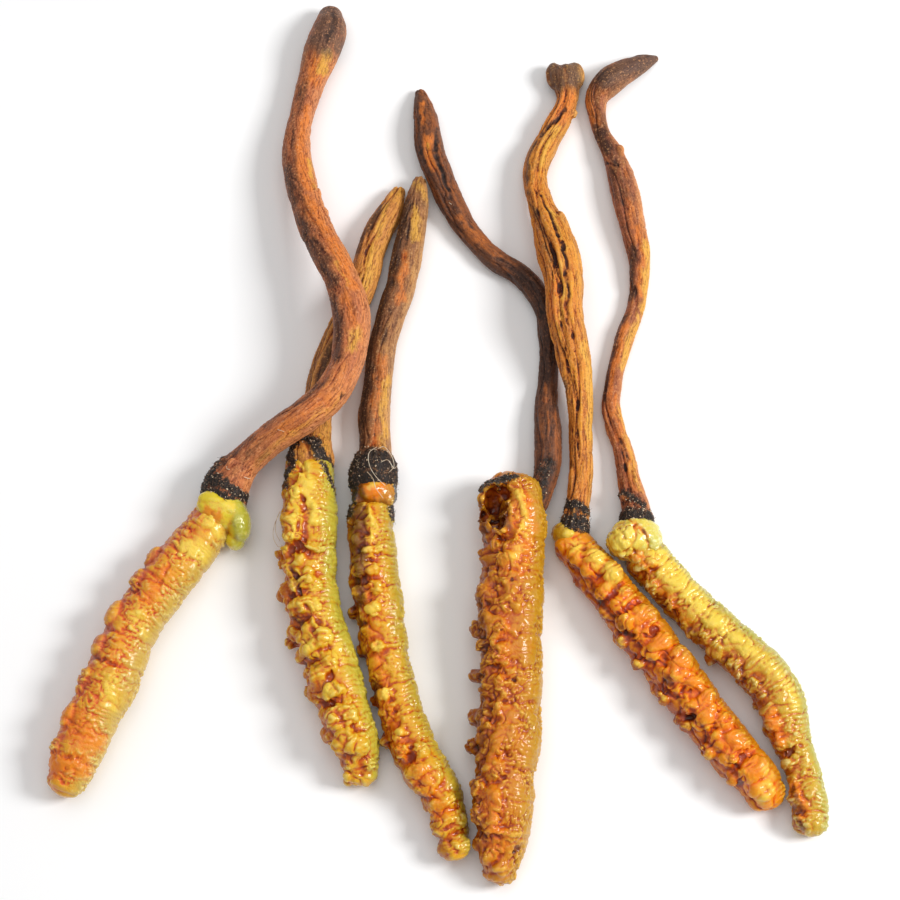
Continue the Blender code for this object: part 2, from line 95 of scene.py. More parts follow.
STALK_PATHS = {
    1: [(-13.7, 51.2, 1.4, 0.0), (-13.8, 49.4, 2.0, 0.0), (-14.4, 47.2, 2.1, 0.0),
        (-15.7, 42.9, 1.65, 0.4), (-16.9, 38.0, 1.42, 0.9), (-17.2, 33.0, 1.72, 1.2),
        (-16.1, 27.9, 1.8, 1.8), (-14.2, 22.8, 1.88, 2.8), (-11.9, 17.9, 1.95, 3.85),
        (-10.7, 13.2, 2.05, 4.05), (-11.1, 8.7, 1.88, 4.05), (-13.4, 4.2, 1.88, 4.1),
        (-15.7, 2.3, 1.88, 4.0), (-17.9, 1.0, 1.85, 3.1), (-20.4, -0.6, 1.8, 2.0),
        (-22.4, -2.3, 1.95, 1.1), (-24.0, -4.5, 2.45, 0.4), (-24.6, -6.2, 2.5, 0.2)],
    2: [(-5.8, 29.9, 0.9, 0.0), (-6.5, 28.1, 1.35, 0.0), (-7.7, 25.6, 1.6, 0.0),
        (-8.6, 23.3, 1.62, 0.0), (-9.8, 18.6, 1.65, 0.0), (-10.7, 16.2, 1.65, 0.0),
        (-12.9, 11.6, 1.65, 0.0), (-14.2, 6.9, 1.7, 0.0), (-14.7, 2.4, 1.75, 0.0),
        (-15.0, 0.4, 2.05, 0.0), (-15.1, -1.8, 2.6, 0.0)],
    3: [(-3.4, 30.9, 0.75, 0.8), (-3.6, 29.3, 1.15, 0.8), (-4.1, 25.7, 1.52, 0.6),
        (-4.7, 22.6, 1.72, 0.3), (-5.5, 18.5, 1.74, 0.0), (-6.7, 14.5, 1.62, 0.0),
        (-7.6, 11.0, 1.6, 0.0), (-7.9, 7.6, 1.62, 0.0), (-8.3, 3.5, 1.78, 0.0),
        (-8.2, -1.0, 1.9, 0.0), (-8.3, -2.6, 2.5, 0.0), (-8.3, -4.2, 2.6, 0.0)],
    4: [(-3.4, 42.0, 0.65, 0.0), (-2.8, 38.5, 1.45, 0.0), (-2.1, 34.1, 1.62, 0.0),
        (-0.8, 30.8, 1.56, 0.0), (0.3, 28.1, 1.52, 0.0), (1.9, 25.3, 1.3, 0.0),
        (3.6, 23.3, 1.2, 0.0), (5.2, 21.7, 1.25, 0.0), (7.5, 20.2, 1.28, 0.0),
        (9.3, 18.2, 1.33, 0.0), (10.5, 15.8, 1.2, 0.0), (10.9, 12.9, 1.15, 0.0),
        (10.8, 7.4, 1.15, 0.0), (10.6, 4.9, 1.28, 0.0), (10.7, 1.9, 1.55, 0.0),
        (10.7, -0.7, 1.55, 0.1), (10.4, -3.5, 1.4, 0.5), (9.4, -6.6, 1.3, 1.2)],
    5: [(13.1, 43.8, 1.7, 0.0), (13.3, 41.0, 1.32, 0.2), (12.5, 38.5, 1.4, 0.3),
        (11.1, 36.0, 1.46, 0.3), (10.1, 33.7, 1.5, 0.5), (9.6, 30.7, 1.4, 0.9),
        (10.1, 27.5, 1.6, 1.3), (11.2, 24.2, 2.05, 1.4), (12.1, 21.3, 2.35, 1.7),
        (12.6, 17.9, 2.15, 2.2), (12.6, 14.2, 2.15, 2.3), (13.4, 10.0, 1.88, 2.1),
        (14.0, 6.7, 1.6, 1.7), (14.2, 0.5, 1.4, 0.7), (14.1, -4.7, 1.42, 0.3),
        (13.6, -7.8, 1.5, 0.3), (13.4, -9.6, 1.7, 0.3)],
    6: [(23.6, 46.4, 0.42, 0.0), (22.1, 45.6, 1.02, 0.0), (19.9, 44.3, 1.5, 0.0),
        (18.0, 42.9, 1.68, 0.0), (16.7, 41.3, 1.4, 0.0), (16.8, 38.9, 1.0, 0.2),
        (17.3, 36.8, 0.96, 0.3), (18.4, 34.2, 1.25, 0.2), (19.3, 31.3, 1.56, 0.0),
        (20.5, 25.4, 1.52, 0.0), (21.1, 22.2, 1.38, 0.0), (21.1, 19.4, 1.15, 0.0),
        (20.6, 15.9, 0.98, 0.0), (19.6, 13.2, 1.02, 0.0), (18.0, 7.1, 1.02, 0.0),
        (17.7, 4.8, 1.05, 0.0), (18.1, 2.6, 1.08, 0.0), (18.8, 0.3, 1.14, 0.1),
        (19.6, -4.6, 1.36, 0.4), (20.1, -6.8, 1.5, 0.6), (20.2, -8.8, 1.9, 0.5)],
}

# Outermost points of the feet: x, y, z
FEET = {
    1: [],
    2: [(-18.9, -12.0, 1.7), (-18.6, -16.9, 1.7), (-17.6, -22.0, 1.6), (-15.7, -27.0, 1.4),
        (-11.2, -36.5, 0.9)],
    3: [(-11.0, -18.5, 1.3), (-10.0, -22.9, 1.3), (-8.7, -28.2, 1.2), (-7.4, -32.5, 1.2),
        (-1.3, -43.3, 0.9)],
    4: [(2.1, -20.5, 2.0), (1.9, -25.4, 2.0), (1.8, -29.9, 2.0), (1.5, -32.9, 2.0),
        (3.3, -45.7, 1.2)],
    5: [(13.3, -15.6, 1.4), (17.5, -21.7, 1.4), (20.0, -24.6, 1.4), (21.6, -27.3, 1.4),
        (23.7, -30.6, 1.4), (26.3, -33.7, 1.4), (29.2, -36.6, 1.3), (31.4, -38.8, 1.2)],
    6: [(27.3, -24.1, 1.5), (30.4, -26.3, 1.5), (32.2, -28.8, 1.5), (33.1, -31.4, 1.4)],
}

# Head capsules as overlapping balls: centre x, y, z, radii across, along and up, turn about z
HEADS = {
    1: [((-24.6, -7.7, 2.8), (3.0, 2.2, 2.5), -22.0), ((-25.5, -7.2, 4.3), (1.9, 1.5, 1.0), -20.0),
        ((-23.6, -8.0, 4.0), (1.5, 1.6, 1.0), -10.0), ((-22.8, -8.9, 2.8), (1.4, 2.2, 2.2), 10.0),
        ((-23.2, -10.6, 2.2), (1.1, 1.2, 1.3), 0.0)],
    3: [((-8.2, -5.4, 2.5), (2.45, 2.0, 2.45), -12.0), ((-8.4, -5.5, 4.1), (1.5, 1.2, 1.0), 20.0),
        ((-6.8, -6.0, 3.4), (0.8, 1.2, 0.8), 10.0), ((-9.7, -6.2, 3.2), (0.8, 1.0, 0.9), -20.0)],
    5: [((12.4, -10.0, 1.7), (1.5, 1.35, 1.7), -30.0), ((12.7, -10.2, 2.9), (0.9, 0.75, 0.8), 0.0)],
    6: [((19.9, -10.7, 2.6), (3.1, 2.4, 2.6), 8.0), ((18.7, -11.1, 3.4), (1.9, 1.9, 1.9), 0.0),
        ((21.5, -11.0, 3.6), (1.1, 1.5, 1.2), 20.0), ((20.4, -13.0, 3.5), (1.5, 0.9, 1.0), -30.0)],
}
HEAD_HALF_LENGTH = 3.0
BODY_4_HOLLOWS = [((4.7, -7.2, 5.4), (1.2, 1.7, 2.9), 12.0), ((5.6, -6.3, 5.8), (1.0, 0.8, 2.0), -30.0),
                  ((4.9, -9.2, 5.6), (0.7, 1.3, 2.0), 25.0), ((3.7, -8.3, 4.6), (0.6, 0.8, 1.6), 0.0)]
STALK_5_LOBES = [((12.15, 43.7, 1.35), (1.3, 1.75, 1.35), 12.0), ((14.0, 43.6, 1.4), (1.35, 1.8, 1.4), -12.0)]

# Lumps on the skins: along, across, radii along, across and out, and a twist in degrees
BODY_LUMPS = {
    1: [(0.8, 0.1, 1.3, 1.0, 0.35, 20), (7.2, 0.95, 1.5, 0.9, 0.7, 0), (10.0, 0.85, 1.3, 0.9, 0.7, 0),
        (14.2, 0.85, 1.7, 0.9, 0.7, 0), (17.6, 0.85, 1.3, 0.9, 0.6, 0), (21.8, 0.85, 1.7, 0.9, 0.6, 0),
        (25.6, 0.8, 1.5, 0.9, 0.6, 0), (29.0, 0.85, 1.3, 0.8, 0.5, 0)],
    2: [(9.0, 0.9, 0.6, 0.6, 0.75, 0), (10.4, 1.0, 1.0, 0.6, 0.6, 0), (9.2, -0.2, 0.7, 1.4, 0.4, 10),
        (13.6, -0.1, 1.0, 1.2, 0.45, 0), (14.4, 0.85, 1.0, 0.9, 0.75, 0), (17.6, 0.2, 1.5, 0.6, 0.5, 10),
        (19.4, 0.6, 0.9, 0.9, 0.7, 0), (21.4, 0.05, 0.9, 1.2, 0.45, 30), (24.4, 0.4, 1.1, 1.3, 0.7, 0),
        (26.6, 0.0, 0.7, 1.3, 0.45, -20), (28.6, 0.75, 1.0, 0.8, 0.6, 0), (30.2, -0.1, 0.8, 1.3, 0.5, 15),
        (32.2, 0.45, 0.9, 0.9, 0.5, 0), (33.0, -0.5, 0.9, 0.9, 0.5, 0), (33.8, 0.85, 0.6, 0.5, 0.5, 0),
        (5.0, 0.55, 1.6, 0.5, 0.5, 0), (2.6, 0.35, 1.6, 0.45, 0.4, 12)],
    3: [(1.0, 0.0, 1.2, 0.4, 0.5, 0), (3.4, 0.0, 0.9, 0.45, 0.45, 0), (4.6, -0.3, 0.6, 0.6, 0.45, 0),
        (11.0, 0.25, 0.9, 1.0, 0.55, 0), (15.0, 0.3, 0.9, 1.0, 0.6, 0), (20.0, 0.45, 0.9, 0.9, 0.6, 0),
        (24.4, 0.5, 0.8, 0.9, 0.5, 0), (24.4, 1.0, 0.6, 0.6, 0.7, 0), (29.8, 0.05, 1.2, 1.4, 0.5, 30),
        (32.6, 0.2, 1.1, 1.2, 0.5, -20), (34.4, -0.3, 0.9, 0.9, 0.45, 0), (37.0, -0.05, 1.0, 1.0, 0.5, 0)],
    4: [(6.8, 0.95, 0.9, 0.8, 0.8, 0), (11.6, 0.95, 1.6, 0.8, 0.5, 0), (14.8, 1.0, 1.1, 0.9, 1.0, 0),
        (19.8, 1.0, 1.0, 0.8, 1.0, 0), (24.4, 1.0, 1.0, 0.8, 1.0, 0), (27.8, 1.0, 1.1, 0.9, 1.1, 0),
        (1.8, -0.25, 2.0, 0.6, 0.5, -10), (-0.2, 0.5, 0.7, 0.9, 0.6, 0), (38.8, 0.75, 1.0, 0.9, 0.7, 0),
        (39.8, -0.1, 0.8, 1.1, 0.6, 0), (3.4, 0.95, 1.1, 0.6, 0.6, 10), (4.2, 0.45, 0.5, 1.0, 0.6, 15),
        (-0.4, -0.1, 0.6, 1.0, 0.5, -20), (4.6, -0.1, 1.3, 0.5, 0.55, 25), (0.6, 0.95, 0.8, 0.5, 0.5, 0),
        (7.4, 0.3, 0.8, 1.2, 0.4, 20), (13.6, 0.75, 0.9, 0.8, 0.6, 20), (16.2, 0.7, 0.8, 1.0, 0.55, -20),
        (18.6, 0.75, 0.7, 0.9, 0.6, 0), (21.2, 0.72, 0.8, 1.0, 0.6, 20), (25.8, 0.7, 0.9, 1.0, 0.55, 0),
        (28.8, 0.68, 0.8, 1.1, 0.6, -15), (12.4, 0.1, 1.2, 1.4, 0.35, 20), (26.6, 0.15, 1.4, 1.4, 0.35, 0),
        (33.4, 0.4, 1.3, 1.3, 0.4, 0), (36.2, -0.2, 1.0, 1.4, 0.4, 10)],
    5: [(1.6, 0.25, 0.9, 0.8, 0.5, 0), (2.2, -0.35, 0.9, 0.7, 0.5, 30), (4.0, -0.05, 0.6, 1.0, 0.55, 20),
        (5.4, -0.55, 0.7, 0.8, 0.5, 0), (6.6, 0.25, 0.7, 1.0, 0.55, -20), (8.6, -0.35, 0.8, 1.0, 0.5, 15),
        (11.4, -0.2, 1.2, 1.2, 0.75, 20), (15.0, -0.05, 1.1, 1.3, 0.8, 35), (18.4, 0.1, 1.3, 1.4, 0.85, 30),
        (23.0, 0.05, 1.6, 1.4, 0.9, 30), (27.2, -0.2, 1.1, 1.5, 0.8, 20), (30.6, -0.1, 1.2, 1.3, 0.7, 0),
        (12.0, 0.92, 0.9, 0.85, 0.9, 0), (15.0, 0.92, 0.95, 0.9, 0.95, 0), (19.2, 0.92, 1.05, 0.95, 1.0, 0),
        (22.8, 0.92, 1.2, 0.95, 0.95, 0), (26.6, 0.86, 1.1, 0.95, 0.9, 0), (30.2, 0.82, 1.0, 0.9, 0.8, 0),
        (8.2, 0.85, 0.9, 0.7, 0.6, 0), (33.0, 0.1, 1.1, 1.2, 0.6, 20)],
    6: [(0.8, 0.45, 0.6, 1.4, 0.6, 20), (9.4, 0.95, 1.4, 0.7, 0.6, 0), (12.6, 0.85, 1.2, 0.8, 0.7, 0),
        (15.6, 0.85, 1.2, 0.8, 0.7, 0), (19.2, 0.75, 1.2, 0.8, 0.6, 0), (23.2, 0.7, 1.3, 0.9, 0.85, -15),
        (25.2, 0.7, 1.0, 0.7, 0.6, 0), (33.6, 0.8, 1.0, 0.6, 0.5, 0)],
}
# Rows of beads on the flanks: first and last place along, spacing, across and radius
BEAD_ROWS = {
    1: [],
    2: [(9.0, 33.0, 2.2, 0.85, 1.2), (3.5, 32.0, 2.4, 0.5, 1.3), (13.0, 33.0, 3.0, 0.1, 1.2)],
    3: [(1.5, 10.0, 1.9, 0.6, 0.95), (1.5, 9.0, 1.8, 0.1, 0.8), (26.0, 38.0, 2.3, 0.5, 1.25),
        (27.0, 38.0, 2.6, -0.1, 1.15)],
    4: [(11.0, 38.0, 2.6, 0.85, 1.1), (12.0, 38.0, 3.0, 0.45, 1.2)],
    5: [(2.0, 33.0, 2.2, 0.35, 1.1), (3.0, 32.0, 2.8, -0.3, 1.35)],
    6: [(3.0, 33.0, 2.4, 0.8, 0.9)],
}
STALK_LUMPS = {
    1: [(23.8, -0.95, 0.6, 0.35, 0.3, 0), (26.8, -0.9, 0.7, 0.35, 0.35, 0), (62.2, 0.35, 0.6, 0.45, 0.35, 0)],
    2: [],
    3: [],
    4: [(34.0, 0.2, 2.0, 0.6, 0.25, 0)],
    5: [(4.6, -0.95, 0.6, 0.4, 0.55, -30), (21.0, -0.85, 2.0, 0.8, 0.3, 0)],
    6: [(16.6, -0.6, 0.9, 0.5, 0.5, 20), (57.6, 0.7, 0.5, 0.9, 0.45, 0), (55.8, -0.6, 1.4, 0.5, 0.3, 0)],
}

# Marks: what it does, along and across of its start and of its end, its width and its strength. A pale bloom
# mark is partly a painted highlight, and a dark mark, along a shaded left edge or in a pit or crack, is
# partly painted shade
BODY_MARKS = {
    1: [("bloom_and_highlight", 0.6, 0.1, 1.2, -0.5, 1.0, 0.7), ("bloom_and_highlight", 4.4, 0.1, 4.0, -0.4, 1.3, 0.8),
        ("bloom_and_highlight", 13.0, 0.0, 14.5, -0.5, 1.1, 0.5), ("bloom_and_highlight", 21.0, -0.1, 22.5, -0.5, 1.1, 0.6),
        ("blush", 7.8, 0.0, 11.4, -0.1, 1.0, 0.75), ("blush", 16.0, 0.2, 19.0, 0.3, 0.9, 0.5),
        ("blush", 26.0, 0.5, 27.4, -0.5, 1.7, 0.8), ("blush", 31.0, 0.5, 30.0, -0.4, 1.6, 0.9),
        ("press", 7.4, 0.05, 9.6, -0.2, 0.18, 0.25), ("press", 11.2, 0.7, 11.7, -0.6, 0.22, 0.25),
        ("press", 16.8, 0.5, 16.6, -0.3, 0.2, 0.28), ("press", 19.2, 0.9, 19.2, 0.0, 0.25, 0.25),
        ("press", 23.3, 0.9, 23.4, 0.0, 0.25, 0.25), ("press", 27.2, 0.9, 27.2, -0.5, 0.2, 0.22),
        ("press", 29.8, 0.9, 29.4, -0.5, 0.2, 0.28), ("press", 31.8, 0.9, 32.0, -0.5, 0.2, 0.22),
        ("dark", 8.0, 0.9, 11.2, 0.7, 0.5, 0.4), ("dark", 16.8, 0.5, 17.0, 0.3, 0.3, 0.6),
        ("dark", 18.6, 0.8, 19.2, 0.6, 0.5, 0.5)],
    2: [("soil", 0.0, 0.75, 2.2, 0.95, 0.6, 0.8), ("soil", 0.0, -0.6, 2.4, -1.0, 0.5, 0.75),
        ("bloom_and_highlight", 0.6, 0.2, 6.4, -0.2, 0.7, 0.9), ("bloom_and_highlight", 9.0, 0.9, 9.2, 0.9, 0.5, 0.8),
        ("bloom_and_highlight", 14.2, -0.1, 22.4, -0.3, 0.9, 0.5), ("bloom_and_highlight", 24.4, 0.4, 24.6, 0.4, 0.8, 0.7),
        ("bloom_and_highlight", 19.4, 0.6, 19.6, 0.6, 0.7, 0.7), ("blush", 5.0, 0.7, 12.0, 0.85, 0.6, 0.4),
        ("bloom_and_highlight", 3.0, 0.5, 8.0, 0.45, 0.6, 0.6),
        ("press", 0.8, 0.4, 4.8, 0.2, 0.16, 0.2), ("press", 5.2, 0.2, 9.4, 0.4, 0.2, 0.15),
        ("press", 10.6, 0.6, 14.0, 0.4, 0.3, 0.3), ("press", 15.6, 0.3, 20.0, 0.35, 0.25, 0.3),
        ("press", 21.0, 0.35, 25.0, 0.1, 0.22, 0.3), ("press", 26.2, 0.3, 30.4, 0.3, 0.22, 0.3),
        ("dark", 11.2, 0.6, 13.8, 0.4, 0.5, 0.6), ("dark", 2.0, 0.8, 8.0, 0.9, 0.4, 0.5),
        ("dark", 16.0, 0.85, 17.6, 0.6, 0.5, 0.6), ("dark", 21.0, 0.8, 22.4, 0.5, 0.4, 0.6)],
    3: [("soil", -1.6, 0.9, 0.6, 0.95, 0.7, 0.8), ("soil", -2.0, -1.2, 0.6, -1.05, 0.6, 0.9),
        ("dark", 0.0, 0.6, 5.6, 0.65, 1.1, 1.0),
        ("dark", 5.8, 0.45, 10.0, 0.7, 0.8, 0.9), ("dark", 9.4, 1.0, 12.4, 0.9, 0.6, 0.8),
        ("dark", 13.0, 0.95, 17.0, 0.95, 0.4, 0.7), ("dark", 18.6, 0.9, 20.0, 0.95, 0.5, 0.8),
        ("bloom_and_highlight", 0.6, 0.0, 4.8, -0.2, 0.4, 0.9), ("bloom_and_highlight", 11.0, 0.25, 11.2, 0.25, 0.7, 0.9),
        ("bloom_and_highlight", 15.0, 0.3, 15.2, 0.3, 0.7, 0.9), ("bloom_and_highlight", 20.0, 0.45, 20.2, 0.45, 0.6, 0.9),
        ("bloom_and_highlight", 24.4, 0.5, 24.6, 0.5, 0.5, 0.7), ("blush", 8.0, 0.3, 26.0, 0.5, 0.8, 0.7),
        ("blush", 27.0, 0.4, 34.0, 0.3, 1.2, 0.7), ("press", 13.0, 0.7, 13.0, 0.0, 0.3, 0.2),
        ("press", 17.4, 0.8, 17.4, 0.0, 0.3, 0.2), ("press", 22.2, 0.9, 22.2, 0.1, 0.3, 0.25),
        ("press", 26.6, 0.9, 27.4, -0.2, 0.25, 0.15), ("press", 31.0, 0.8, 31.2, -0.4, 0.22, 0.3),
        ("press", 35.4, 0.8, 35.6, -0.5, 0.22, 0.3)],
    4: [("soil", -0.8, 0.9, -1.2, -0.2, 0.7, 0.9), ("dark", 0.8, 1.0, 5.0, 1.0, 0.6, 0.7),
        ("dark", 1.2, 0.5, 3.4, 0.4, 0.9, 1.0), ("dark", 11.6, 1.0, 21.4, 1.0, 0.6, 0.5),
        ("dark", 22.6, 1.0, 33.2, 0.95, 0.6, 0.5), ("dark", 34.0, 0.9, 37.0, 0.6, 0.5, 0.4),
        ("bloom_and_highlight", 1.4, -0.2, 5.0, -0.3, 0.7, 0.6), ("bloom_and_highlight", 5.6, -0.1, 8.4, 0.0, 0.8, 0.5),
        ("blush", 2.0, -0.3, 8.5, -0.1, 1.4, 0.8), ("blush", 15.0, 0.2, 20.0, 0.3, 1.4, 0.5),
        ("blush", 24.0, 0.2, 30.0, 0.4, 1.2, 0.4), ("blush", 33.0, 0.4, 38.0, 0.1, 1.4, 0.6),
        ("pit", 20.4, -0.05, 20.6, -0.05, 0.3, 0.35), ("pit", 37.6, -0.65, 37.7, -0.65, 0.35, 0.4),
        ("pit", 10.2, 0.0, 10.3, 0.0, 0.18, 0.2), ("pit", 14.8, 0.45, 15.2, 0.35, 0.22, 0.25),
        ("press", 26.8, -0.1, 26.6, -0.95, 0.14, 0.14),
        ("press", 31.0, 0.55, 31.2, -0.8, 0.14, 0.18), ("press", 22.8, 0.95, 22.6, -0.75, 0.16, 0.14),
        ("press", 17.6, 0.8, 18.2, -0.3, 0.16, 0.14), ("press", 36.6, 0.9, 37.0, -0.7, 0.2, 0.2),
        ("press", 38.2, 0.7, 38.8, -0.6, 0.2, 0.25), ("press", 8.8, 0.9, 9.2, -0.9, 0.18, 0.18)],
    5: [("press", 7.2, 0.7, 18.0, 0.62, 0.3, 0.2), ("press", 18.0, 0.62, 30.6, 0.55, 0.3, 0.2),
        ("press", 13.2, 0.5, 13.4, -0.5, 0.2, 0.35), ("press", 16.6, 0.5, 17.0, -0.6, 0.2, 0.35),
        ("press", 20.4, 0.6, 21.0, -0.6, 0.22, 0.35), ("press", 25.2, 0.6, 25.4, -0.6, 0.22, 0.35),
        ("press", 28.8, 0.5, 29.2, -0.7, 0.2, 0.3), ("press", 9.6, 0.5, 9.8, -0.6, 0.2, 0.3),
        ("dark", 2.0, 0.8, 7.2, 0.75, 0.5, 0.5), ("dark", 7.2, 0.7, 18.0, 0.62, 0.35, 0.65),
        ("dark", 18.0, 0.62, 30.6, 0.55, 0.35, 0.65), ("bloom_and_highlight", 1.0, 0.2, 1.4, 0.0, 0.8, 0.8),
        ("bloom_and_highlight", 3.0, -0.3, 6.6, -0.2, 1.2, 0.7), ("bloom_and_highlight", 12.0, 1.0, 12.1, 1.0, 0.5, 0.5),
        ("bloom_and_highlight", 15.0, 1.0, 15.1, 1.0, 0.5, 0.5), ("bloom_and_highlight", 19.2, 1.0, 19.3, 1.0, 0.5, 0.5),
        ("bloom_and_highlight", 32.0, -0.5, 33.6, 0.3, 0.9, 0.5), ("blush", 12.0, -0.1, 31.0, -0.05, 1.2, 0.8)],
    6: [("blush", 0.4, 0.5, 1.4, 0.2, 0.7, 0.8), ("dark", 4.0, 1.0, 10.4, 0.95, 0.6, 0.5),
        ("dark", 13.4, 0.95, 19.2, 0.8, 0.5, 0.4), ("blush", 22.4, 0.75, 24.8, 0.6, 0.9, 0.9),
        ("blush", 30.6, 0.75, 33.6, 0.45, 0.8, 0.9), ("dark", 31.0, 0.8, 35.0, 0.6, 0.5, 0.8),
        ("bloom_and_highlight", 1.0, -0.3, 6.0, -0.2, 1.3, 0.9), ("bloom_and_highlight", 7.4, -0.2, 15.0, -0.1, 1.1, 0.8),
        ("bloom_and_highlight", 16.0, -0.2, 22.0, -0.3, 0.9, 0.5), ("blush", 3.0, 0.6, 8.0, 0.6, 0.7, 0.5),
        ("pit", 33.0, 0.65, 33.2, 0.65, 0.35, 0.4), ("press", 26.2, 0.8, 26.4, -0.2, 0.2, 0.3)],
}
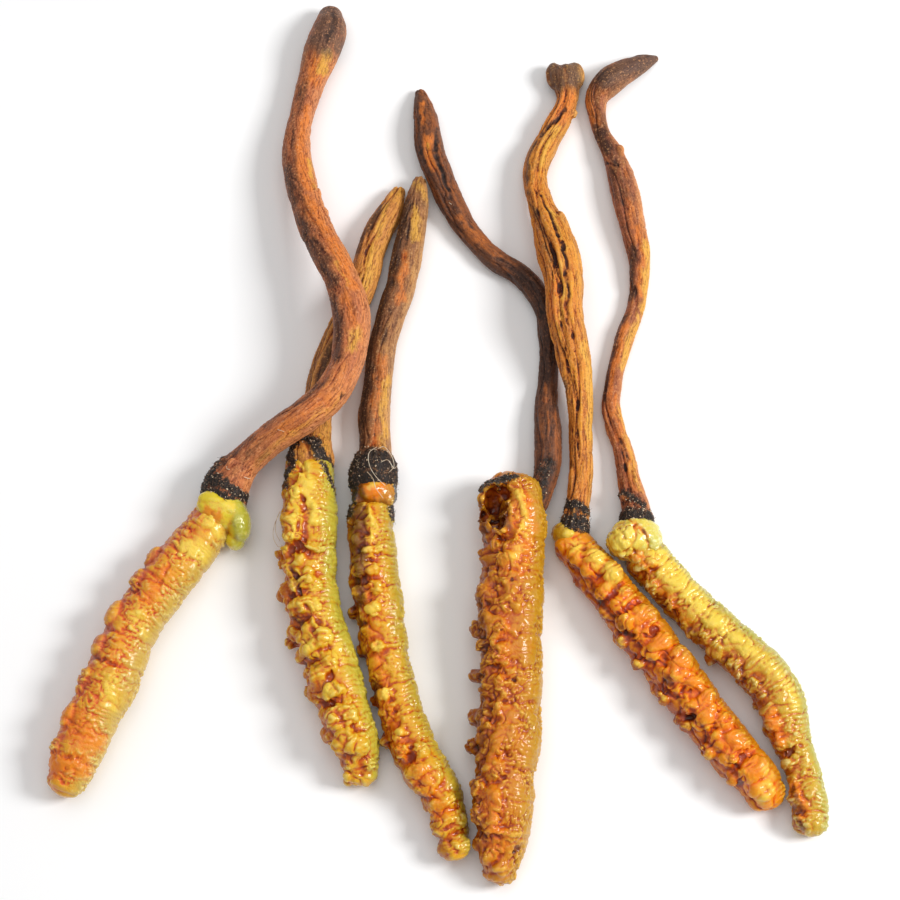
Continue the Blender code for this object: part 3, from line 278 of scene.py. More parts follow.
STALK_MARKS = {
    1: [("grey", 0.4, -0.1, 4.4, 0.1, 2.0, 1.0), ("grey", 1.8, -0.7, 4.6, -0.9, 0.8, 0.8),
        ("grey", 6.0, 0.7, 32.0, 0.9, 0.8, 0.4), ("dark", 12.0, 0.3, 30.0, 0.3, 0.5, 0.55),
        ("grey", 58.0, -0.2, 64.0, 0.0, 1.6, 0.35),
        ("dark", 1.2, -0.25, 4.2, -0.25, 0.45, 0.8), ("press", 1.2, -0.25, 4.2, -0.25, 0.5, 0.18),
        ("bloom_and_highlight", 5.6, -0.35, 7.6, -0.5, 0.6, 1.0), ("blush", 5.2, 0.0, 9.0, -0.3, 0.9, 1.0),
        ("blush", 12.8, -0.5, 17.4, -0.35, 0.6, 0.8), ("blush", 18.2, -0.25, 23.4, -0.25, 0.9, 0.8),
        ("bloom_and_highlight", 19.4, -0.75, 23.6, -0.65, 0.4, 0.6), ("dark", 10.0, 0.35, 12.4, 0.0, 0.8, 0.6),
        ("dark", 20.4, 0.7, 24.6, 0.8, 0.8, 0.8), ("dark", 26.0, 0.7, 30.8, 0.95, 0.8, 0.8),
        ("dark", 30.4, 0.45, 35.8, 0.7, 1.0, 0.8), ("dark", 37.2, 0.9, 45.2, 0.5, 0.8, 0.8),
        ("blush", 25.4, -0.05, 29.6, -0.2, 1.0, 0.8), ("blush", 31.2, -0.55, 37.0, -0.35, 0.8, 0.8),
        ("bloom_and_highlight", 42.0, -0.3, 43.6, -0.3, 0.7, 0.7), ("blush", 38.0, 0.1, 41.4, -0.15, 0.7, 0.6),
        ("bloom_and_highlight", 34.0, -0.1, 37.0, -0.1, 0.3, 0.6), ("blush", 50.0, -0.1, 54.8, -0.3, 1.2, 0.5),
        ("dark", 48.0, 0.6, 56.6, 0.9, 0.5, 0.6), ("dark", 58.4, 0.7, 63.2, 0.8, 0.6, 0.6),
        ("bloom_and_highlight", 49.0, -0.7, 60.0, -0.6, 0.6, 0.3), ("soil", 64.6, 1.1, 64.8, -1.2, 0.8, 1.0),
        ("soil", 66.2, 1.1, 66.4, -1.2, 1.2, 1.0), ("soil", 62.4, 0.9, 63.6, 0.9, 0.6, 0.7),
        ("pit", 48.6, -0.8, 48.7, -0.8, 0.3, 0.3),
        ("press", 30.5, 0.3, 34.0, 0.2, 0.25, 0.15), ("press", 9.5, -0.4, 10.0, -0.3, 0.3, 0.1)],
    2: [("bloom_and_highlight", 0.4, 0.2, 1.6, 0.0, 0.8, 0.5), ("dark", 3.2, 0.8, 8.8, 0.8, 0.5, 0.8),
        ("bloom_and_highlight", 2.6, 0.4, 6.4, -0.2, 0.5, 0.6), ("bloom_and_highlight", 8.0, -0.15, 13.0, -0.4, 0.6, 0.9),
        ("press", 3.6, 0.05, 7.6, 0.05, 0.14, 0.22), ("press", 7.6, 0.05, 11.4, 0.15, 0.14, 0.22),
        ("dark", 20.0, 0.0, 26.0, 0.1, 0.7, 0.9), ("dark", 18.0, 0.9, 28.0, 0.9, 0.5, 0.5),
        ("bloom_and_highlight", 29.4, -0.7, 33.0, -0.95, 0.7, 0.5), ("soil", 31.6, 0.6, 32.6, -0.3, 0.9, 1.0),
        ("soil", 31.8, 0.9, 35.0, 1.0, 0.8, 0.9), ("soil", 33.2, -0.2, 35.0, -1.0, 0.8, 1.0)],
    3: [("bloom_and_highlight", 1.0, 0.4, 2.4, -0.65, 0.7, 0.5), ("dark", 3.6, 1.0, 11.4, 0.7, 0.8, 1.0),
        ("dark", 12.8, 0.7, 19.2, 0.85, 0.8, 1.0), ("dark", 3.6, 0.7, 7.8, 0.1, 0.4, 0.8),
        ("bloom_and_highlight", 4.0, 0.1, 7.4, -0.45, 0.5, 0.8), ("blush", 9.6, 0.0, 14.8, -0.35, 0.6, 0.7),
        ("dark", 19.0, 0.95, 26.6, 0.75, 0.7, 1.0), ("dark", 26.6, 0.85, 32.4, 0.85, 0.5, 1.0),
        ("dark", 13.0, 0.1, 20.0, 0.0, 0.4, 0.7), ("dark", 3.0, 0.0, 3.6, -0.6, 0.4, 0.6),
        ("blush", 22.0, -0.1, 32.0, -0.2, 0.8, 0.6), ("bloom_and_highlight", 24.0, -0.6, 33.0, -0.6, 0.5, 0.6),
        ("soil", 34.4, 1.0, 34.6, -1.0, 1.3, 1.0), ("soil", 36.4, 1.1, 36.6, -1.1, 1.6, 1.0)],
    4: [("blush", 2.2, 0.2, 4.8, 0.5, 0.35, 0.9), ("blush", 6.6, 0.0, 9.8, 0.3, 0.55, 1.0),
        ("bloom_and_highlight", 7.6, 0.1, 8.4, 0.2, 0.3, 0.6), ("press", 5.6, -0.6, 14.2, 0.0, 0.22, 0.3),
        ("dark", 5.6, -0.6, 14.2, 0.0, 0.3, 0.9), ("press", 9.6, -0.8, 13.6, -0.5, 0.16, 0.2),
        ("blush", 16.4, 0.1, 23.0, 0.0, 0.45, 0.55), ("dark", 26.4, 0.0, 30.2, -0.3, 1.3, 1.0),
        ("dark", 30.6, -0.2, 38.6, 0.0, 1.3, 0.9), ("blush", 39.8, 0.2, 44.6, -0.25, 0.35, 0.5),
        ("soil", 49.0, 0.1, 54.0, -0.1, 1.2, 0.62)],
    5: [("grey", -1.0, 0.7, 1.0, 0.75, 1.4, 1.0), ("grey", -1.0, -0.6, 1.2, -0.4, 1.4, 1.0),
        ("press", -1.8, 0.1, -0.6, 0.2, 0.4, 0.35), ("blush", 3.4, 0.1, 6.2, 0.15, 1.1, 1.0),
        ("press", 4.8, -0.05, 8.8, 0.5, 0.25, 0.4), ("dark", 4.8, -0.05, 8.8, 0.5, 0.3, 0.9),
        ("bloom_and_highlight", 7.2, -0.25, 12.4, -0.4, 0.6, 0.8), ("dark", 9.4, 0.85, 14.4, 0.6, 0.5, 0.7),
        ("press", 16.8, -0.15, 22.6, -0.15, 0.13, 0.35), ("press", 23.4, -0.15, 29.8, -0.1, 0.15, 0.4),
        ("press", 18.6, 0.5, 29.6, 0.55, 0.12, 0.28), ("press", 29.8, -0.1, 35.6, -0.1, 0.12, 0.28),
        ("dark", 16.8, -0.15, 22.6, -0.15, 0.15, 0.9), ("dark", 23.4, -0.15, 29.8, -0.1, 0.16, 0.9),
        ("press", 26.0, 0.3, 33.0, 0.35, 0.1, 0.2), ("press", 36.0, 0.2, 46.0, 0.1, 0.1, 0.2),
        ("press", 12.0, 0.3, 17.0, 0.2, 0.12, 0.22), ("press", 34.0, 0.5, 44.0, 0.5, 0.1, 0.2),
        ("bloom_and_highlight", 19.2, -0.3, 25.4, -0.15, 0.4, 0.8), ("bloom_and_highlight", 25.6, 0.1, 32.0, 0.2, 0.35, 0.8),
        ("blush", 28.2, 0.65, 31.8, 0.6, 0.5, 0.9), ("bloom_and_highlight", 34.8, -0.75, 44.8, -0.6, 0.5, 0.8),
        ("dark", 15.4, 0.8, 26.4, 0.95, 0.4, 0.7), ("dark", 38.0, 0.85, 48.0, 0.95, 0.4, 0.8),
        ("soil", 52.4, 1.0, 52.8, -0.65, 0.8, 0.9), ("soil", 54.6, 1.1, 54.8, -1.1, 1.2, 1.0)],
    6: [("grey", 0.2, -0.2, 6.8, -0.3, 1.7, 0.9), ("blush", 5.6, -0.5, 8.2, -0.45, 0.45, 0.6),
        ("dark", 7.0, 0.6, 13.0, -0.4, 1.0, 0.6), ("grey", 14.0, 0.0, 22.0, 0.0, 1.2, 0.45),
        ("blush", 9.0, 0.6, 12.2, 0.2, 0.8, 0.9), ("dark", 13.0, 0.35, 15.8, 0.45, 0.9, 1.0),
        ("pit", 17.6, 0.2, 18.2, 0.1, 0.3, 0.6), ("press", 17.4, 0.9, 18.2, 0.1, 0.2, 0.4),
        ("dark", 18.2, 0.9, 22.6, 0.75, 0.6, 0.6), ("blush", 19.0, -0.2, 25.8, 0.2, 0.4, 0.7),
        ("press", 19.0, 0.0, 23.2, 0.15, 0.14, 0.2), ("dark", 28.0, 0.65, 34.0, 0.5, 0.6, 0.9),
        ("bloom_and_highlight", 28.2, -0.75, 34.6, -0.9, 0.7, 1.0), ("blush", 26.2, -0.2, 33.2, -0.2, 0.45, 0.8),
        ("dark", 36.4, 0.95, 45.8, 0.85, 0.5, 0.9), ("bloom_and_highlight", 36.0, -0.7, 42.0, -0.85, 0.5, 0.8),
        ("blush", 37.6, 0.2, 45.4, 0.1, 0.5, 0.7), ("blush", 46.0, -0.3, 57.0, -0.2, 0.8, 0.6),
        ("bloom_and_highlight", 47.0, -0.8, 57.0, -0.7, 0.5, 0.5), ("press", 50.8, -0.15, 54.2, -0.05, 0.16, 0.3),
        ("dark", 50.8, -0.15, 54.2, -0.05, 0.2, 0.9), ("soil", 57.0, 0.95, 58.8, -0.3, 0.6, 0.8),
        ("soil", 60.0, 1.1, 60.2, -1.1, 1.1, 0.9)],
}
# On the heads, the pale bloom marks are mostly painted highlights on the glossy capsules
HEAD_MARKS = {
    1: [("blush", 3.6, 0.55, 3.9, 0.1, 0.7, 0.9), ("grey", 0.7, 1.1, 1.0, -0.2, 0.4, 0.8),
        ("bloom_and_highlight", 2.6, -0.2, 2.9, -0.3, 0.6, 0.9), ("dark", 4.8, -0.5, 5.0, -0.5, 0.35, 0.5),
        ("dark", 6.2, -0.5, 6.6, -0.5, 0.5, 0.5)],
    3: [("blush", 2.8, 0.0, 3.4, 0.1, 1.2, 1.0), ("bloom_and_highlight", 2.6, 0.0, 2.8, 0.1, 0.5, 0.6),
        ("dark", 2.3, 0.65, 4.4, 0.55, 0.8, 1.0), ("soil", 1.4, -0.8, 4.6, -0.75, 0.5, 1.0),
        ("soil", 1.4, 0.8, 4.4, 0.75, 0.5, 0.8), ("dark", 4.4, 0.4, 4.8, -0.5, 0.5, 0.7)],
    5: [("bloom_and_highlight", 3.0, -0.1, 3.2, -0.1, 0.7, 0.7), ("dark", 2.0, 0.3, 4.0, 0.4, 0.5, 0.6)],
    6: [("bloom_and_highlight", 3.4, 0.45, 3.6, 0.4, 1.4, 1.0), ("blush", 1.4, 0.2, 3.1, -0.3, 0.4, 1.0),
        ("dark", 2.6, -0.2, 3.6, -0.35, 0.3, 0.8), ("press", 1.2, 0.3, 3.0, -0.25, 0.25, 0.35),
        ("press", 3.0, -0.25, 4.6, -0.5, 0.25, 0.35), ("blush", 5.2, 0.1, 5.6, -0.4, 0.5, 0.9)],
}
MARK_KINDS = ("grey", "dark", "blush", "bloom_and_highlight", "soil")
ALL_ROUND = ("grey", "soil")
SOILED_BODIES = (2, 3, 4)
# The larva whose head is torn open, and the stalk with a forked tip
TORN_BODY = 4
FORKED_STALK = 5

# Pale threads on the skins: points as along, across and height above the skin
THREADS = {
    "stalk_3": [
        [(33.4, -0.1, 0.3), (34.0, 0.15, 0.4), (35.0, 0.1, 0.5), (36.2, -0.1, 0.6), (37.2, -0.4, 0.7)],
        [(33.6, -0.15, 0.3), (33.3, -0.35, 0.5), (33.8, -0.6, 0.5), (34.8, -0.75, 0.4), (35.4, -0.6, 0.4)],
        [(34.6, -0.3, 0.3), (34.4, -0.5, 0.5), (34.9, -0.75, 0.4), (34.5, -0.9, 0.3)],
        [(35.6, 0.2, 0.4), (36.4, 0.0, 0.5), (37.4, -0.1, 0.5), (38.6, -0.35, 0.6)],
    ],
    "body_2": [
        [(5.0, 0.95, 0.2), (6.2, 1.0, 0.75), (7.6, 1.0, 0.9), (8.6, 1.0, 0.5), (8.8, 0.9, 0.2)],
        [(4.6, 1.0, 0.1), (5.8, 1.0, 0.55), (7.2, 1.0, 0.55), (8.0, 1.0, 0.2)],
    ],
    "stalk_1": [
        [(62.7, -0.6, 0.1), (62.5, -0.75, 0.25), (62.2, -0.85, 0.1)],
        [(55.5, -0.05, 0.1), (55.2, -0.2, 0.25), (55.0, -0.35, 0.1)],
        [(62.9, 0.3, 0.1), (63.1, 0.2, 0.2), (63.0, 0.1, 0.1)],
    ],
    "stalk_4": [[(14.5, 0.3, 0.0), (14.7, 0.25, 0.12), (14.8, 0.2, 0.0)]],
}
THREAD_RADIUS = 0.03
THREAD_STEP = 0.12
THREAD_SIDES = 8

# What grows on the skins, in millimetres, and how each specimen differs
LARVA_SKIN = {
    "Stretch": 1.25, "Wobble Depth": 0.22, "Lump Size": 2.0, "Lump Depth": 0.34,
    "Crease Size": 2.2, "Crease Depth": 0.15, "Plate Size": 0.95, "Plate Depth": 0.15,
    "Pebble Size": 0.45, "Pebble Depth": 0.07, "Ring Spacing": 0.52, "Ring Depth": 0.1,
    "Segment Length": 3.5, "Segment Depth": 0.12, "Grain Depth": 0.03,
}
LARVA_CHANGES = {
    1: {"Stretch": 1.8, "Lump Depth": 0.16, "Crease Depth": 0.06, "Pebble Depth": 0.05, "Ring Depth": 0.07},
    2: {"Lump Size": 2.2, "Lump Depth": 0.42, "Plate Depth": 0.11, "Pebble Depth": 0.05},
    3: {"Lump Depth": 0.32, "Crease Depth": 0.13, "Plate Size": 0.8, "Plate Depth": 0.11,
        "Pebble Depth": 0.05, "Ring Depth": 0.11},
    4: {"Stretch": 1.1, "Lump Size": 1.5, "Lump Depth": 0.26, "Crease Depth": 0.14, "Plate Size": 0.8,
        "Plate Depth": 0.2, "Pebble Depth": 0.11, "Ring Depth": 0.07},
    5: {"Stretch": 1.0, "Lump Size": 2.3, "Lump Depth": 0.32, "Crease Depth": 0.18, "Plate Depth": 0.09,
        "Pebble Depth": 0.04, "Ring Depth": 0.11},
    6: {"Stretch": 1.5, "Lump Depth": 0.2, "Crease Depth": 0.13, "Plate Depth": 0.17, "Ring Depth": 0.13},
}
STALK_FLESH = {
    "Stretch": 0.16, "Wobble Depth": 0.14, "Lump Size": 1.2, "Lump Depth": 0.11, "Crease Size": 1.6,
    "Crease Depth": 0.12, "Plate Size": 0.5, "Plate Depth": 0.09, "Pebble Size": 0.28, "Pebble Depth": 0.045,
    "Ring Spacing": 2.9, "Ring Depth": 0.04, "Segment Length": 9.0, "Segment Depth": 0.0, "Grain Depth": 0.03,
}
STALK_CHANGES = {
    1: {"Stretch": 0.3, "Lump Depth": 0.12, "Crease Depth": 0.08, "Plate Depth": 0.07, "Pebble Depth": 0.06},
    2: {"Crease Depth": 0.18},
    3: {"Crease Depth": 0.13},
    4: {"Crease Depth": 0.15},
    5: {"Stretch": 0.12, "Lump Size": 0.9, "Lump Depth": 0.3, "Crease Depth": 0.26, "Plate Depth": 0.14},
    6: {"Crease Depth": 0.16, "Plate Depth": 0.11},
}
HEAD_SHELL = {
    "Stretch": 1.0, "Wobble Depth": 0.12, "Lump Size": 1.4, "Lump Depth": 0.08, "Crease Size": 2.4,
    "Crease Depth": 0.08, "Plate Size": 0.8, "Plate Depth": 0.03, "Pebble Size": 0.4, "Pebble Depth": 0.015,
    "Ring Spacing": 0.5, "Ring Depth": 0.03, "Segment Length": 3.5, "Segment Depth": 0.0, "Grain Depth": 0.01,
}
HEAD_CHANGES = {
    6: {"Lump Size": 1.1, "Lump Depth": 0.22, "Crease Size": 1.5, "Crease Depth": 0.2, "Plate Depth": 0.1},
}
# Where the random patterns of the heads and of the stalks begin, after those of the larvae
HEAD_SEED = 20.0
STALK_SEED = 40.0

# Skin colours: the left side, the ventral colour deepened by painted shade, orange patches, also painted
# shade in folds, middle, the back, paled by painted light from the right, and painted highlights on the tops
# of lumps
SKIN_TINTS = {
    1: ((0.5, 0.14, 0.06), (0.72, 0.1, 0.012), (0.74, 0.34, 0.016), (0.55, 0.38, 0.07),
        (0.9, 0.74, 0.26)),
    2: ((0.48, 0.11, 0.002), (0.62, 0.14, 0.002), (0.7, 0.37, 0.01), (0.46, 0.42, 0.045),
        (0.85, 0.68, 0.15)),
    3: ((0.32, 0.05, 0.001), (0.62, 0.13, 0.001), (0.72, 0.35, 0.008), (0.4, 0.3, 0.025),
        (0.88, 0.64, 0.12)),
    4: ((0.28, 0.055, 0.002), (0.5, 0.1, 0.002), (0.58, 0.205, 0.003), (0.45, 0.24, 0.01),
        (0.82, 0.46, 0.05)),
    5: ((0.26, 0.036, 0.001), (0.78, 0.13, 0.001), (0.8, 0.27, 0.002), (0.4, 0.14, 0.004),
        (0.92, 0.56, 0.05)),
    6: ((0.38, 0.09, 0.006), (0.58, 0.17, 0.005), (0.58, 0.34, 0.018), (0.35, 0.34, 0.05),
        (0.76, 0.68, 0.28)),
}
# Head colours in the same order, with the same painted shade, light and highlights
HEAD_TINTS = {
    1: ((0.66, 0.3, 0.015), (0.72, 0.38, 0.01), (0.72, 0.55, 0.02), (0.34, 0.34, 0.035),
        (0.88, 0.82, 0.25)),
    3: ((0.12, 0.026, 0.003), (0.62, 0.17, 0.005), (0.62, 0.22, 0.008), (0.42, 0.2, 0.025),
        (0.88, 0.6, 0.12)),
    5: ((0.16, 0.05, 0.005), (0.52, 0.2, 0.008), (0.52, 0.3, 0.015), (0.45, 0.38, 0.03),
        (0.78, 0.65, 0.12)),
    6: ((0.62, 0.36, 0.03), (0.72, 0.28, 0.01), (0.74, 0.58, 0.07), (0.56, 0.5, 0.09),
        (0.94, 0.9, 0.48)),
}
# How much painted shade in the crevices each specimen's skin takes
SKIN_SHADES = {1: 0.7, 2: 0.8, 3: 0.92, 4: 0.85, 5: 0.92, 6: 0.8}
HEAD_SHADE = 0.7

# Stalk colours: dark streaks, also painted shade on the left and in folds, middle, light streaks, also
# painted light on the right, and the right edge, lit by painted light
STALK_TINTS = {
    1: ((0.15, 0.055, 0.03), (0.5, 0.15, 0.05), (0.8, 0.27, 0.055), (0.78, 0.36, 0.16)),
    2: ((0.09, 0.034, 0.01), (0.56, 0.21, 0.042), (0.78, 0.38, 0.045), (0.76, 0.33, 0.11)),
    3: ((0.042, 0.02, 0.01), (0.28, 0.11, 0.04), (0.64, 0.3, 0.075), (0.66, 0.38, 0.17)),
    4: ((0.018, 0.008, 0.005), (0.11, 0.04, 0.018), (0.44, 0.12, 0.018), (0.25, 0.1, 0.045)),
    5: ((0.12, 0.034, 0.005), (0.62, 0.2, 0.024), (0.78, 0.34, 0.022), (0.7, 0.38, 0.12)),
    6: ((0.056, 0.022, 0.014), (0.34, 0.098, 0.036), (0.72, 0.25, 0.038), (0.74, 0.36, 0.15)),
}

# Stains on skins and on stalks, with the pale bloom partly a painted highlight and the dark one partly
# painted shade
SKIN_STAINS_AND_LIGHT = {"blush": (0.8, 0.2, 0.002), "bloom_and_highlight": (0.86, 0.62, 0.07), "grey": (0.4, 0.19, 0.12),
               "dark": (0.1, 0.024, 0.003)}
STALK_STAINS_AND_LIGHT = {"blush": (0.72, 0.2, 0.026), "bloom_and_highlight": (0.74, 0.38, 0.05), "grey": (0.08, 0.051, 0.038),
                "dark": (0.045, 0.018, 0.01)}
# What painted shade in a shallow fold and in a crevice, and a groove and a speck, leave of the colour around
# them
SHALLOW_SHADE = (0.8, 0.5, 0.26)
CREVICE_SHADE = (0.36, 0.21, 0.13)
GROOVE = (0.34, 0.24, 0.2)
SPECK = (0.4, 0.28, 0.24)
# The crust of soil and its grains, and the threads
CRUST = (0.02, 0.013, 0.01)
CRUST_GRAIN = (0.24, 0.14, 0.08)
GRAIN_TINTS = ((0.022, 0.013, 0.009), (0.17, 0.085, 0.045), (0.66, 0.5, 0.33))
THREAD_TINTS = ((0.5, 0.33, 0.18), (0.86, 0.78, 0.62))


class SkinSizes(bpy.types.PropertyGroup):
    """How finely the skins of the larvae and their heads are made."""
    detail: FloatProperty(
        name="Detail", description="Size of the smallest faces of a larva's skin",
        default=0.00012, min=0.00008, max=0.0004, unit="LENGTH", precision=6)
    soften: IntProperty(
        name="Soften", description="How often the bare shape is smoothed before it is wrinkled",
        default=3, min=0, max=40)
    roughness: FloatProperty(
        name="Roughness", description="Roughness of the waxy skin", default=0.36, min=0.0, max=1.0)
    coat: FloatProperty(
        name="Coat", description="How strong the glossy coat of the skin is", default=0.5, min=0.0, max=1.0)
    head_roughness: FloatProperty(
        name="Head roughness", description="Roughness of the glossy heads", default=0.14, min=0.0, max=1.0)
    head_coat: FloatProperty(
        name="Head coat", description="How strong the glossy coat of the heads is",
        default=0.8, min=0.0, max=1.0)


class StalkSizes(bpy.types.PropertyGroup):
    """How finely the stalks and what clings to them are made."""
    detail: FloatProperty(
        name="Detail", description="Size of the smallest faces of a stalk",
        default=0.00012, min=0.00008, max=0.0004, unit="LENGTH", precision=6)
    soften: IntProperty(
        name="Soften", description="How often the bare shape is smoothed before it is furrowed",
        default=3, min=0, max=40)
    roughness: FloatProperty(
        name="Roughness", description="Roughness of the dry stalks", default=0.5, min=0.0, max=1.0)
    grain: FloatProperty(
        name="Soil grain", description="Radius of a grain of soil",
        default=0.00011, min=0.00002, max=0.0005, unit="LENGTH", precision=6)
    grains: FloatProperty(
        name="Grains", description="Grains of soil on each square millimetre of crust",
        default=14.0, min=0.0, max=40.0)
    fibres: FloatProperty(
        name="Fibres", description="Short fibres on each square millimetre of crust",
        default=3.0, min=0.0, max=40.0)
    fibre: FloatProperty(
        name="Fibre length", description="Length of a short fibre",
        default=0.0008, min=0.0001, max=0.003, unit="LENGTH", precision=5)


class StageSizes(bpy.types.PropertyGroup):
    """The camera, the floor and the lights."""
    elevation: FloatProperty(
        name="Elevation", description="How far the camera looks down",
        default=math.radians(75.0), min=0.0, max=math.radians(89.0), subtype="ANGLE")
    distance: FloatProperty(
        name="Distance", description="How far the camera is from the middle of the bundle",
        default=0.275, min=0.1, max=2.0, unit="LENGTH")
    lens: FloatProperty(
        name="Lens", description="Focal length of the camera, in millimetres",
        default=100.0, min=20.0, max=300.0)
    key: FloatProperty(
        name="Key light", description="Power of the light at the right, in watts",
        default=1.25, min=0.0, max=50.0)
    key_size: FloatProperty(
        name="Key size", description="Side of the light at the right",
        default=0.13, min=0.01, max=1.0, unit="LENGTH")
    fill: FloatProperty(
        name="Fill light", description="Power of the soft light overhead, in watts",
        default=0.75, min=0.0, max=50.0)
    sky: FloatProperty(
        name="Surroundings", description="Brightness of the white surroundings",
        default=0.46, min=0.0, max=5.0)
    floor: FloatVectorProperty(
        name="Floor", description="Colour of the floor", default=(0.95, 0.95, 0.95),
        size=3, min=0.0, max=1.0, subtype="COLOR")


class Field:
    """A number in a node tree, with which sums can be written."""

    def __init__(self, tree, socket):
        self.tree = tree
        self.socket = socket

    def maths(self, operation, *others):
        """The result of a Math node on this number and others."""
        node = add_node(self.tree, "ShaderNodeMath", operation=operation)
        for socket, value in zip(node.inputs, (self,) + others):
            connect(self.tree, socket, value)
        return Field(self.tree, node.outputs[0])

    def __add__(self, other):
        return self.maths("ADD", other)

    def __sub__(self, other):
        return self.maths("SUBTRACT", other)

    def __mul__(self, other):
        return self.maths("MULTIPLY", other)

    def __truediv__(self, other):
        return self.maths("DIVIDE", other)

    def ramp(self, low, high, bottom=0.0, top=1.0):
        """A smooth step from bottom to top, while the number goes from low to high."""
        node = add_node(self.tree, "ShaderNodeMapRange", interpolation_type="SMOOTHSTEP")
        names = ("Value", "From Min", "From Max", "To Min", "To Max")
        for name, value in zip(names, (self, low, high, bottom, top)):
            connect(self.tree, node.inputs[name], value)
        return Field(self.tree, node.outputs["Result"])

    def valley(self, width):
        """1 where the number is 0, falling to 0 at a few widths from it, on both sides."""
        share = self / width
        return (share * share * -1.0).maths("EXPONENT")


def connect(tree, socket, value):
    """Fill a socket with a field, another socket or a plain value."""
    if isinstance(value, Field):
        tree.links.new(value.socket, socket)
    elif isinstance(value, bpy.types.NodeSocket):
        tree.links.new(value, socket)
    else:
        socket.default_value = value


def add_node(tree, kind, inputs=None, **settings):
    """A new node with its settings, and its inputs filled by name or number."""
    node = tree.nodes.new(kind)
    count = len(tree.nodes)
    node.location = (180.0 * (count // 8), -170.0 * (count % 8))
    for name, value in settings.items():
        setattr(node, name, value)
    for name, value in (inputs or {}).items():
        connect(tree, node.inputs[name], value)
    return node


def frequency(size):
    """How many cells of a size there are in a unit."""
    return size.maths("POWER", -1.0) if isinstance(size, Field) else 1.0 / size


def noise(tree, place, size, seed, detail=0.0, roughness=0.5):
    """Smooth noise about 0 whose lumps have a size in the units of place."""
    node = add_node(tree, "ShaderNodeTexNoise",
                    {"Vector": place, "W": seed, "Scale": frequency(size), "Detail": detail,
                     "Roughness": roughness}, noise_dimensions="4D")
    return (Field(tree, node.outputs["Fac"]) - 0.5) * 2.0


def warped(tree, place, size, seed, reach):
    """A place moved about by noise, so that patterns on it aren't regular."""
    node = add_node(tree, "ShaderNodeTexNoise",
                    {"Vector": place, "W": seed, "Scale": 1.0 / size, "Detail": 1.0}, noise_dimensions="4D")
    centred = add_node(tree, "ShaderNodeVectorMath", {0: node.outputs["Color"], 1: (0.5, 0.5, 0.5)},
                       operation="SUBTRACT")
    scaled = add_node(tree, "ShaderNodeVectorMath", {0: centred.outputs[0], "Scale": reach},
                      operation="SCALE")
    moved = add_node(tree, "ShaderNodeVectorMath", {0: place, 1: scaled.outputs[0]}, operation="ADD")
    return moved.outputs[0]


# How steeply a dome falls to the valley around it
DOME_STEEPNESS = 1.35


def domes(tree, place, size):
    """Rounded cells of a size, 1 at their tops and about 0 in the sharp valleys between them."""
    node = add_node(tree, "ShaderNodeTexVoronoi", {"Vector": place, "Scale": frequency(size)}, feature="F1")
    distance = Field(tree, node.outputs["Distance"]) * DOME_STEEPNESS
    return (distance * distance * -1.0 + 1.0).maths("MAXIMUM", 0.0)


def new_tree(name, inputs):
    """A geometry node tree with named inputs, its input node and its output node."""
    tree = bpy.data.node_groups.new(name, "GeometryNodeTree")
    tree.interface.new_socket("Geometry", in_out="INPUT", socket_type="NodeSocketGeometry")
    tree.interface.new_socket("Geometry", in_out="OUTPUT", socket_type="NodeSocketGeometry")
    for label, value in inputs.items():
        if value is None:
            tree.interface.new_socket(label, in_out="INPUT", socket_type="NodeSocketMaterial")
        else:
            socket = tree.interface.new_socket(label, in_out="INPUT", socket_type="NodeSocketFloat")
            socket.default_value = value
    start = add_node(tree, "NodeGroupInput")
    end = add_node(tree, "NodeGroupOutput")
    return tree, start, end


def close_tree(tree, start, end, geometry):
    """End a tree in Realize Instances and Set Material."""
    real = add_node(tree, "GeometryNodeRealizeInstances", {"Geometry": geometry})
    painted = add_node(tree, "GeometryNodeSetMaterial",
                       {"Geometry": real.outputs[0], "Material": start.outputs["Material"]})
    tree.links.new(painted.outputs[0], end.inputs[0])
    return tree


def attribute(tree, name, kind="FLOAT"):
    """A named attribute of the mesh, in a geometry node tree."""
    node = add_node(tree, "GeometryNodeInputNamedAttribute", {"Name": name}, data_type=kind)
    socket = node.outputs["Attribute"]
    return Field(tree, socket) if kind == "FLOAT" else socket


# Sizes of the patterns that bend, fade and roughen the relief, in millimetres
LUMP_WARP = 1.6
LUMP_WARP_REACH = 1.3
PEBBLE_WARP = 0.7
PEBBLE_WARP_REACH = 0.5
WOBBLE_SIZE = 3.0
DRIFT_SIZE = 2.2
RING_PATCH = 1.3
ROUGH_PATCH = 1.9
CRUST_SIZE = 0.4
CRUST_HEIGHT = 0.26
GRAIN_SIZE = 0.2
# How far apart the patterns of two specimens are taken, for each step of the seed
SEED_STEP = 7.3


